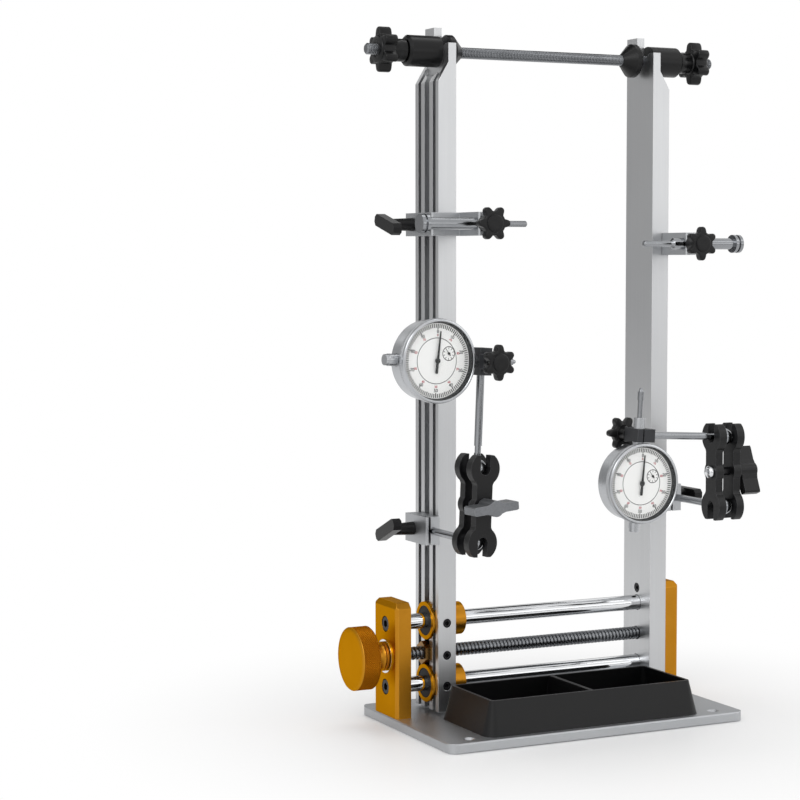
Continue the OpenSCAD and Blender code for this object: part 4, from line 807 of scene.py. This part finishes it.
@dataclass
class LeadScrew:
    """Trapezoidal lead screw and its knurled adjusting knob."""

    thread: Thread = Thread(
        radius=4.8, pitch=3.0, depth=1.3, fade=2.5, rows_per_pitch=12, columns=40
    )
    thread_end: float = 106.5
    journal: float = 4.0
    chamfer: float = 0.5
    # the knob: its waist, then the knurl's first and last height and their step
    waist_radii: Pair = (8.5, 10.5)
    waist_shares: Pair = (0.1, 0.82)
    waist_heights: Pair = (2.2, 10.4)
    waist_rows: int = 9
    rim: float = 22.6
    knurl_heights: Vec3 = (12.9, 25.15, 0.22)
    knurl_depth: float = 0.6
    diamonds: int = 92
    columns_per_diamond: int = 6

    def build(self) -> None:
        """Make the threaded rod and the knob."""
        _, y, z = joint_point("lead_screw_spin")
        low, high = box_mm("lead_screw")
        journal, cut, end = self.journal, self.chamfer, self.thread_end
        before = [(journal - cut, low[0]), (journal, low[0] + cut), (journal, -end)]
        after = [(journal, end), (journal, high[0] - cut), (journal - cut, high[0])]
        rod = self.thread.rod((-end, end), before, after)
        add_piece(
            "lead_screw_thread", rod.moved(Place((0.0, y, z), Y_AXIS, Z_AXIS, X_AXIS)),
            [THREAD_STEEL], "lead_screw", "lead_screw",
        )
        seat = box_mm("adjusting_knob")[1][0]
        out = Place((seat, y, z), Z_AXIS, Y_AXIS, (-1.0, 0.0, 0.0))
        add_piece(
            "adjusting_knob_knurled", self.knob().moved(out), [GOLD, GOLD_KNURL_PAINTED_SHADE],
            "lead_screw", "adjusting_knob",
        )

    def knob(self) -> Shape:
        """The waisted hub and the diamond-knurled rim as one turned piece.

        The waist's radius grows with the fourth power of the distance from its middle.
        """
        least, most = self.waist_radii
        share = np.linspace(*self.waist_shares, self.waist_rows)
        radii = least + (most - least) * (2.0 * share - 1.0) ** 4
        waist = zip(radii, np.linspace(*self.waist_heights, self.waist_rows))
        start, rows = [*KNOB_FOOT, *waist, *KNOB_BACK], np.arange(*self.knurl_heights)
        profile = [*start, *((self.rim, h) for h in rows), *KNOB_FACE]
        columns = self.diamonds * self.columns_per_diamond
        relief = np.zeros((len(profile), columns))
        first, last = len(start), len(start) + len(rows)
        relief[first:last] = diamond_relief(
            rows, columns, self.diamonds, self.rim, self.knurl_depth
        )
        numbers = np.zeros(len(profile) - 1, int)
        # the knurled band takes the gold painted darker, as painted shade in its grooves
        numbers[first - 1 : last] = 1
        return turned(profile, columns, numbers=numbers, relief=relief)


# the axle knobs' section, as height and radius: bore and grooved neck,
AXLE_NECK = (
    (21.8, 4.05), (0.0, 4.05), (0.0, 7.4), (0.6, 8.0), (4.62, 8.0), (5.5, 7.44),
    (10.23, 7.44), (11.0, 8.0),
)
# and past the lobed head the dished boss, its first row with lobe share and inset
AXLE_BOSS = (
    (20.72, 9.51, 0.3, 1.3), (20.72, 9.81), (21.5, 9.41), (21.8, 8.91), (21.8, 5.8962),
    (21.2, 5.3256), (21.2, 4.55),
)


@dataclass
class Axle:
    """Threaded axle rod and the two lobed knobs that tighten it."""

    thread: Thread = Thread(
        radius=4.0, pitch=1.25, depth=0.5, fade=0.8, rows_per_pitch=7, columns=32
    )
    chamfer: float = 1.0
    diameter: float = 31.7
    head: Vec3 = (11.0, 20.72, 1.3)  # heights of its back and face, radius of its edges
    columns: int = 216

    def build(self) -> None:
        """Make the rod and both knobs."""
        low, high = box_mm("axle_rod")
        _, y, z = (low + high) / 2.0
        tip, cut = self.thread.radius - self.chamfer, self.chamfer
        rod = self.thread.rod(
            (low[0] + cut, high[0] - cut), [(tip, low[0])], [(tip, high[0])]
        )
        add_piece(
            "axle_rod_thread", rod.moved(Place((0.0, y, z), Y_AXIS, Z_AXIS, X_AXIS)),
            [THREAD_STEEL], "root", "axle_rod",
        )
        for node, sign, seat_end in (("left_axle_knob", -1.0, 1), ("right_axle_knob", 1.0, 0)):
            seat = (box_mm(node)[seat_end][0], y, z)
            spot = Place(seat, Z_AXIS, (0.0, sign, 0.0), (sign, 0.0, 0.0))
            add_piece(
                f"{node}_lobed", self.knob().moved(spot).outward(), [BLACK_NYLON], node,
                node,
            )

    def knob(self) -> Shape:
        """The knob from its seat: bore, grooved neck, lobed head with a dished face."""
        neck, boss = ([Ring(*row) for row in rows] for rows in (AXLE_NECK, AXLE_BOSS))
        rings = neck + lobed_head(*self.head) + boss
        numbers = np.zeros(len(rings), int)
        return lobed_knob(rings, self.diameter, self.columns, True, numbers)


# rows of the small knobs' hub, as height and radius,
HUB_ROWS = ((0.2, 2.0), (0.3, 5.3508), (0.6, 5.6056))
# and of their cap, as drop below the face and radius, the first with lobe share and inset
CAP_ROWS = (
    (1.08, 6.2426, 0.35, 1.2), (1.08, 6.2426), (0.35, 6.0926), (0.1, 5.7426),
    (0.0, 5.2426), (0.1, 2.49704),
)


@dataclass
class SmallKnobs:
    """The four small lobed knobs on the feelers and on the dial clamps."""

    diameter: float = 24.5
    columns: int = 180
    head_width: float = 7.0
    face_drop: float = 0.98
    edge: float = 1.2
    shank: float = 2.0
    shank_edge: float = 0.3
    hub_middle: float = 5.733
    hub_top: Pair = (0.4, 6.1789)
    feeler_length: float = 16.6
    clamp_length: float = 14.8
    clamp_seat: float = 11.1
    left_clamp_stop: float = 4.3

    def build(self) -> None:
        """Make all four."""
        for side, sign, feeler_lobe, clamp_lobe in (
            ("left", -1.0, X_AXIS, Z_AXIS), ("right", 1.0, Z_AXIS, X_AXIS),
        ):
            node = f"{side}_feeler_knob"
            seat, out = joint_point(f"{node}_turn"), -joint_axis(f"{node}_turn")
            reach = box_mm(node)[1][1] - seat[1]
            self.place(node, seat, out, self.feeler_length, reach, feeler_lobe)
            node = f"{side}_clamp_knob"
            out = sign * joint_axis(f"{node}_turn")
            seat = joint_point(f"{node}_turn") + out * self.clamp_seat
            reach = self.clamp_seat - self.left_clamp_stop
            if side == "right":
                reach = seat[1] - box_mm(node)[0][1]
            self.place(node, seat, out, self.clamp_length, reach, clamp_lobe)

    def place(
        self, node: str, seat: np.ndarray, out: np.ndarray, length: float, reach: float,
        lobe: Vec3,
    ) -> None:
        """Make one knob.

        Args:
            node: the CAD node and body that it stands for and rides on.
            seat: where its shank leaves the block.
            out: direction from the block outwards.
            length: from the seat to its face.
            reach: length of its shank inside the block.
            lobe: direction that one of its lobes points in.
        """
        shank, tip, low = self.shank, self.shank_edge, length - self.head_width
        rings = [Ring(-reach, shank - tip), Ring(-reach + tip, shank)]
        rings += [Ring(*row) for row in HUB_ROWS]
        rings.append(Ring(low / 2.0, self.hub_middle))
        rings.append(Ring(low - self.hub_top[0], self.hub_top[1]))
        rings += lobed_head(low, length - self.face_drop, self.edge)
        rings += [Ring(length - drop, *row) for drop, *row in CAP_ROWS]
        numbers = np.zeros(len(rings) - 1, int)
        numbers[:2] = 1  # the shank is steel
        shape = lobed_knob(rings, self.diameter, self.columns, False, numbers)
        add_piece(
            f"{node}_lobed", shape.moved(Place.along(seat, out, lobe)).outward(),
            [BLACK_NYLON, THREAD_STEEL], node, node,
        )


class Side(Enum):
    """The two dial indicators."""

    LEFT = "left"
    RIGHT = "right"


# outlines of the needle's blade and tail, across and up the face
NEEDLE_BLADE = ((-0.85, 0.0), (0.85, 0.0), (0.42, 19.5), (0.0, 20.2), (-0.42, 19.5))
NEEDLE_TAIL = (
    (-0.8, 0.0), (-1.0, -8.0), (-0.6, -8.6), (0.6, -8.6), (1.0, -8.0), (0.8, 0.0)
)
NEEDLE_DEGREES = {Side.LEFT: 4.7, Side.RIGHT: 3.0}
# the bezel's section, as radius and height behind the joint's point, from the crystal's lip
BEZEL = (
    (26.4, -10.55), (26.8, -10.9), (27.0, -10.9), (27.6, -10.75), (28.15, -10.35),
    (28.35, -9.8), (28.35, -8.5), (27.75, -8.0), (27.75, -7.6), (28.3, -7.3),
    (28.48, -7.1), (28.48, -6.55), (28.48, -6.0), (28.48, -5.45), (28.48, -4.9),
    (28.1, -4.5), (25.25, -4.5), (25.25, -6.5), (27.05, -9.1), (27.05, -9.95),
    (26.4, -9.95),
)
BEZEL_TEETH, BEZEL_WALL = slice(10, 15), slice(-4, None)  # its toothed rows, inner wall


@dataclass
class DialIndicator:
    """Bezel, long needle, printed scale and turn counter of one dial indicator."""

    side: Side
    teeth: int = 150
    columns_per_tooth: int = 4
    tooth_half: float = 0.15
    face_radius: float = 25.25
    face_front: float = -6.5
    needle_front: float = -8.0
    needle_thick: float = 0.4
    needle_hub: float = 1.9
    hub_proud: float = 0.1
    arbor: float = 0.6
    arbor_depth: float = 2.3
    hub_columns: int = 32
    # the print: ink is half its thickness; ticks have a length at tens, fives and ones, and
    # a half width at tens and elsewhere; numbers have a distance and a height
    ink: float = 0.03
    bolder: float = 0.07
    font_per_height: float = 1.38
    divisions: int = 100
    tick_lengths: Vec3 = (3.4, 3.1, 2.7)
    tick_halves: Pair = (0.38, 0.33)
    tick_margin: float = 0.5
    numerals: int = 10
    outer_numbers: Pair = (19.8, 2.3)
    inner_numbers: Pair = (17.3, 1.6)
    middle_ring: Pair = (15.1, 15.5)
    middle_columns: int = 120
    counter_ring: Pair = (4.4, 4.9)
    counter_columns: int = 64
    counter_reach: float = 3.6
    counter_tick: Pair = (0.22, 0.6)

    def face_place(self) -> Place:
        """The face's frame: across to the reader's right, back into the case, up."""
        name = self.side.value
        centre = joint_point(f"{name}_bezel_turn")
        stem, back = joint_axis(f"{name}_spindle_press"), joint_axis(f"{name}_bezel_turn")
        if self.side is Side.LEFT:
            across, up = stem, np.cross(stem, back)
        else:
            across, up = np.cross(back, stem), stem
        return Place(tuple(centre), tuple(across), tuple(back), tuple(up))

    def build(self) -> None:
        """Make the bezel, the print of the scale and of the counter, and the needle."""
        place = self.face_place()
        self.build_bezel(place)
        self.build_scale_print(place)
        self.build_counter_print(place)
        self.build_needle(place)

    def build_needle(self, place: Place) -> None:
        """Stamp the long needle: a tapered blade, a wider tail, a hub and its arbor."""
        name = self.side.value
        spin = math.radians(NEEDLE_DEGREES[self.side])
        c, s = math.cos(spin), math.sin(spin)
        turns = angles(self.hub_columns)
        disc = np.stack([np.sin(turns), np.cos(turns)], -1)
        front, back = self.needle_front, self.needle_front + self.needle_thick
        parts = []
        for outline, near, far in (
            (NEEDLE_BLADE, front, back),
            (NEEDLE_TAIL, front, back),
            (self.needle_hub * disc, front - self.hub_proud, back + self.hub_proud),
            (self.arbor * disc, front, self.face_front + self.arbor_depth),
        ):
            flat = np.array(outline)
            x, z = flat[:, 0] * c + flat[:, 1] * s, flat[:, 1] * c - flat[:, 0] * s
            rows = [np.stack([x, np.full(len(x), y), z], -1) for y in (near, far)]
            parts.append(skin(np.array(rows), False))
        add_piece(
            f"{name}_needle_stamped", Shape.joined(parts).moved(place), [BLACK_INK],
            f"{name}_needle", f"{name}_needle",
        )

    def build_bezel(self, place: Place) -> None:
        """Turn the bezel, with fine straight teeth round the back of its band.

        A tooth is one wave of the angle, as deep as two of its halves.
        """
        columns = self.teeth * self.columns_per_tooth
        relief = np.zeros((len(BEZEL), columns))
        relief[BEZEL_TEETH] = -self.tooth_half * (1.0 - np.cos(angles(columns, self.teeth)))
        numbers = np.zeros(len(BEZEL), int)
        # the inner wall's rows take the bezel metal painted dark, as painted reflection and
        # shade
        numbers[BEZEL_WALL] = 1
        shape = turned(BEZEL, columns, True, numbers, relief)
        axes = Place(place.point, place.across, place.up, place.back)
        name = self.side.value
        add_piece(
            f"{name}_bezel_knurled", shape.moved(axes).outward(), [DIAL_SATIN, DIAL_WALL_PAINTED_SHADE],
            f"{name}_bezel", f"{name}_dial_bezel",
        )

    def digits(self, text: str, height: float) -> Shape:
        """A number as a raised print in the face's frame, centred on the origin."""
        curve = bpy.data.curves.new("number", "FONT")
        curve.body, curve.size, curve.extrude = text, height * self.font_per_height, self.ink
        curve.align_x, curve.align_y = "CENTER", "CENTER"
        curve.offset = self.bolder
        holder = bpy.data.objects.new("number", curve)
        mesh = bpy.data.meshes.new_from_object(holder)
        mesh.calc_loop_triangles()
        x, z, y = np.array([v.co[:] for v in mesh.vertices]).T
        faces = np.array([t.vertices[:] for t in mesh.loop_triangles])
        bpy.data.objects.remove(holder)
        bpy.data.curves.remove(curve)
        bpy.data.meshes.remove(mesh)
        x, z = (c - (c.min() + c.max()) / 2.0 for c in (x, z))
        points = np.stack([x, self.face_front - y, z], -1)
        return Shape(points, [faces], [np.zeros(len(faces), int)]).outward()

    def ticks(self, turns: np.ndarray, reach: np.ndarray, halves: np.ndarray) -> Shape:
        """Printed bars round the face's middle.

        Args:
            turns: their angles, clockwise from the top.
            reach: distances of their middles, one or for each.
            halves: their half sizes across, back and up.
        Returns:
            One shape with all the bars.
        """
        level = np.full(len(turns), self.face_front)
        centres = np.stack([reach * np.sin(turns), level, reach * np.cos(turns)], -1)
        return blocks(centres, halves, turns)

    def build_scale_print(self, place: Place) -> None:
        """Print a hundred divisions, longer at the fives and tens, and their numbers."""
        steps = np.arange(self.divisions)
        per_number = self.divisions // self.numerals
        tens, fives = steps % per_number == 0, steps % (per_number // 2) == 0
        ten, five, one = self.tick_lengths
        length = np.where(tens, ten, np.where(fives, five, one))
        wide = np.where(tens, *self.tick_halves)
        halves = np.stack([wide, np.full(len(steps), self.ink), length / 2.0], -1)
        reach = self.face_radius - self.tick_margin - length / 2.0
        parts = [self.ticks(steps * FULL_TURN / self.divisions, reach, halves)]
        for k, turn in enumerate(angles(self.numerals)):
            outer = k * per_number
            inner = (self.divisions - outer) % self.divisions
            for number, value, (far, height) in (
                (0, outer, self.outer_numbers), (1, inner, self.inner_numbers),
            ):
                mark = self.digits(str(value), height)
                spot = far * np.array([math.sin(turn), 0.0, math.cos(turn)])
                mark.corners = mark.corners + spot
                mark.numbers = [np.full(len(mark.numbers[0]), number)]
                parts.append(mark)
        name = self.side.value
        add_piece(
            f"{name}_scale_print", Shape.joined(parts).moved(place),
            [BLACK_INK, RED_INK], f"{name}_bezel",
        )

    def build_counter_print(self, place: Place) -> None:
        """Print the thin middle ring and the turn counter's ring and divisions."""
        flat = Place((0.0, self.face_front, 0.0), X_AXIS, Z_AXIS, Y_AXIS)
        parts = []
        for (near, far), columns in (
            (self.middle_ring, self.middle_columns),
            (self.counter_ring, self.counter_columns),
        ):
            section = [
                (near, -self.ink), (far, -self.ink), (far, self.ink), (near, self.ink)
            ]
            parts.append(turned(section, columns, True).moved(flat))
        turns = angles(self.numerals)
        wide, high = self.counter_tick
        halves = np.tile([wide, self.ink, high], (len(turns), 1))
        parts.append(self.ticks(turns, self.counter_reach, halves))
        spot = joint_point(f"{self.side.value}_small_needle_turn") - np.array(place.point)
        at = np.array([spot @ np.array(place.across), 0.0, spot @ np.array(place.up)])
        for part in parts[1:]:
            part.corners = part.corners + at
        name = self.side.value
        add_piece(
            f"{name}_counter_print", Shape.joined([p.outward() for p in parts]).moved(place),
            [BLACK_INK], f"{name}_dial",
        )


@dataclass
class BoltHeads:
    """The polished domes of the bolts through the arms' plates."""

    start: float = 10.9
    brim: float = 0.5
    radius: float = 4.75
    rise: float = 3.6
    bend: float = 1.5
    rows: int = 9
    columns: int = 48

    def build(self) -> None:
        """Make both domes as quarter ellipses turned about the bolt.

        The radius is r cos t and the height above the brim is h sin t.
        """
        profile = [(self.radius, self.start)] + [
            (self.radius * math.cos(t), self.start + self.brim + self.rise * math.sin(t))
            for t in np.linspace(0.0, self.bend, self.rows)
        ]
        for side, sign in (("left", 1.0), ("right", -1.0)):
            name = f"{side}_arm_lever_turn"
            spot = Place.along(joint_point(name), joint_axis(name) * sign, Z_AXIS)
            dome = turned(profile, self.columns).moved(spot)
            add_piece(
                f"{side}_bolt_dome", dome.outward(), [CHROME], f"{side}_arm_lever",
            )


# ---------------------------------------------------------------- studio
@dataclass
class Studio:
    """Camera, pale floor, white surround and soft lamps."""

    camera_at: Vec3 = (-0.7540, -1.2985, 0.3342)
    yaw: float = 25.95
    pitch: float = 3.93
    roll: float = -0.07
    lens: float = 93.85
    sensor: float = 36.0
    aim: Vec3 = (0.0, 0.0, 0.22)
    surround: float = 0.62
    floor_size: Pair = (60.0, 60.0)
    floor_level: float = -0.0002
    floor_colour: str = "#fbfbfb"
    floor_roughness: float = 0.4
    floor_specular: float = 0.2
    floor_fade: Pair = (0.05, 0.36)

    def build(self) -> None:
        """Make all of it."""
        scene = bpy.context.scene
        scene.view_settings.view_transform = "Standard"
        self.build_camera(scene)
        self.add_card(
            "floor", self.floor_size, Matrix.Translation((0.0, 0.0, self.floor_level)),
            make_material("pale_floor", self.floor_surface),
        )
        self.build_surround(scene)
        # each lamp's middle, size and watts, then each card's middle, facing, size and tone
        for name, at, size, power in (
            ("key", (-1.5, -1.5, 1.7), (1.3, 1.3), 17.0),
            ("fill", (1.9, -1.1, 1.2), (1.0, 1.6), 6.0),
            ("top", (0.1, 0.5, 2.0), (1.6, 1.0), 8.0),
            ("front", (0.7, -1.9, 0.45), (1.6, 0.7), 1.6),
        ):
            self.add_lamp(name, at, size, power)
        for name, at, facing, size, tone in (
            ("flag_back", (0.0, 1.5, 0.45), (0.0, -1.0, 0.0), (4.0, 0.9), "#b4b4b4"),
            ("flag_left", (-1.4, 0.9, 0.7), (1.0, -0.4, 0.0), (1.8, 1.4), "#c8c8c8"),
            ("flag_above", (0.1, 0.9, 1.5), (0.0, -0.5, -1.0), (1.8, 1.1), "#3c3c3c"),
            ("flag_low", (0.5, -1.6, 0.06), (0.0, 1.0, 0.1), (2.6, 0.16), "#303030"),
        ):
            self.add_flag(name, at, facing, size, tone)

    def build_camera(self, scene: bpy.types.Scene) -> None:
        """Place the camera where the stand was seen from."""
        data = bpy.data.cameras.new("camera")
        data.lens, data.sensor_width = self.lens, self.sensor
        camera = bpy.data.objects.new("camera", data)
        scene.collection.objects.link(camera)
        yaw, pitch = math.radians(self.yaw), math.radians(self.pitch)
        level = math.cos(pitch)
        look = Vector((math.sin(yaw) * level, math.cos(yaw) * level, -math.sin(pitch)))
        turn = look.to_track_quat("-Z", "Y").to_matrix().to_4x4()
        turn = turn @ Matrix.Rotation(math.radians(self.roll), 4, "Z")
        camera.matrix_world = Matrix.Translation(self.camera_at) @ turn
        scene.camera = camera

    def shown_ray(self, tree: Tree) -> Socket:
        """One where the ray is the camera's, a reflection or seen through glass."""
        path = add_node(tree, "LightPath").node.outputs
        either = {"operation": "MAXIMUM"}
        first = {0: path["Is Camera Ray"], 1: path["Is Glossy Ray"]}
        both = {0: add_node(tree, "Math", either, first), 1: path["Is Transmission Ray"]}
        return add_node(tree, "Math", either, both)

    def floor_surface(self, tree: Tree) -> Socket:
        """Pale shader that keeps the shadow near the stand and fades to white."""
        place = add_node(tree, "TexCoord", out="Object")
        away = add_node(tree, "VectorMath", {"operation": "LENGTH"}, {0: place}, "Value")
        far = ramp(tree, away, self.floor_fade, kind="SMOOTHSTEP")
        share = add_node(
            tree, "Math", {"operation": "MULTIPLY"}, {0: far, 1: self.shown_ray(tree)}
        )
        pale = add_node(
            tree, "BsdfPrincipled",
            {
                "Base Color": linear(self.floor_colour), "Roughness": self.floor_roughness,
                "Specular IOR Level": self.floor_specular,
            },
        )
        white = add_node(tree, "Emission", {"Color": WHITE, "Strength": 1.0})
        return add_node(tree, "MixShader", None, {0: share, 1: pale, 2: white})

    def build_surround(self, scene: bpy.types.Scene) -> None:
        """White where it is seen, and a plain soft light for the surfaces."""
        scene.world = bpy.data.worlds.new("surround")
        scene.world.use_nodes = True
        tree = scene.world.node_tree
        tree.nodes.clear()
        soft, white = (
            add_node(tree, "Background", {"Color": WHITE, "Strength": strength})
            for strength in (self.surround, 1.0)
        )
        shader = add_node(
            tree, "MixShader", None, {0: self.shown_ray(tree), 1: soft, 2: white}
        )
        add_node(tree, "OutputWorld", None, {"Surface": shader})

    def add_card(
        self, name: str, size: Pair, place: Matrix, material: bpy.types.Material
    ) -> bpy.types.Object:
        """Add a flat rectangle that belongs to the studio.

        Args:
            name: the card's name.
            size: width and height, in metres.
            place: where its mesh goes.
            material: what it is made of.
        Returns:
            The card.
        """
        w, h = size[0] / 2.0, size[1] / 2.0
        mesh = bpy.data.meshes.new(name)
        mesh.from_pydata([(-w, -h, 0), (w, -h, 0), (w, h, 0), (-w, h, 0)], [], [(0, 1, 2, 3)])
        mesh.transform(place)
        mesh.materials.append(material)
        card = bpy.data.objects.new(name, mesh)
        bpy.context.scene.collection.objects.link(card)
        return card

    def add_flag(self, name: str, at: Vec3, facing: Vec3, size: Pair, tone: str) -> None:
        """Hang a plain card out of sight, which polished surfaces mirror.

        Args:
            name: the card's name.
            at: its middle, in metres.
            facing: the way its face looks.
            size: width and height, in metres.
            tone: grey of the card.
        """
        glow = {"Color": linear(tone), "Strength": 1.0}
        material = make_material(name, lambda tree: add_node(tree, "Emission", glow))
        turn = Vector(facing).to_track_quat("Z", "Y").to_matrix().to_4x4()
        card = self.add_card(name, size, Matrix.Translation(at) @ turn, material)
        for kind in ("camera", "diffuse", "transmission", "shadow", "volume_scatter"):
            setattr(card, f"visible_{kind}", False)

    def add_lamp(self, name: str, at: Vec3, size: Pair, power: float) -> None:
        """Add a soft rectangular lamp that points at the stand's middle.

        Args:
            name: the lamp's name.
            at: its middle, in metres.
            size: width and height, in metres.
            power: in watts.
        """
        data = bpy.data.lights.new(name, "AREA")
        data.shape, data.size, data.size_y, data.energy = "RECTANGLE", *size, power
        lamp = bpy.data.objects.new(name, data)
        bpy.context.scene.collection.objects.link(lamp)
        lamp.location = at
        lamp.rotation_mode = "QUATERNION"
        away = Vector(self.aim) - Vector(at)
        lamp.rotation_quaternion = away.to_track_quat("-Z", "Y")


def dress_cad_nodes() -> None:
    """Give every CAD node its finish in all of its material slots."""
    finishes = {name: finish for finish, names in NODES.items() for name in names.split()}
    for node, obj in frame["nodes"].items():
        plain = node.removeprefix("left_").removeprefix("right_")
        finish = finishes.get(node) or finishes[plain]
        material, slots = finish.build(), obj.data.materials
        if not slots:
            slots.append(material)
        for k in range(len(slots)):
            slots[k] = material


def main() -> None:
    """Build the studio, dress the frame and add the detailed pieces."""
    logging.basicConfig(level=logging.INFO, format="%(name)s: %(message)s")
    Studio().build()
    dress_cad_nodes()
    LeadScrew().build()
    Axle().build()
    SmallKnobs().build()
    BoltHeads().build()
    for side in Side:
        DialIndicator(side).build()


if __name__ == "__main__":
    main()
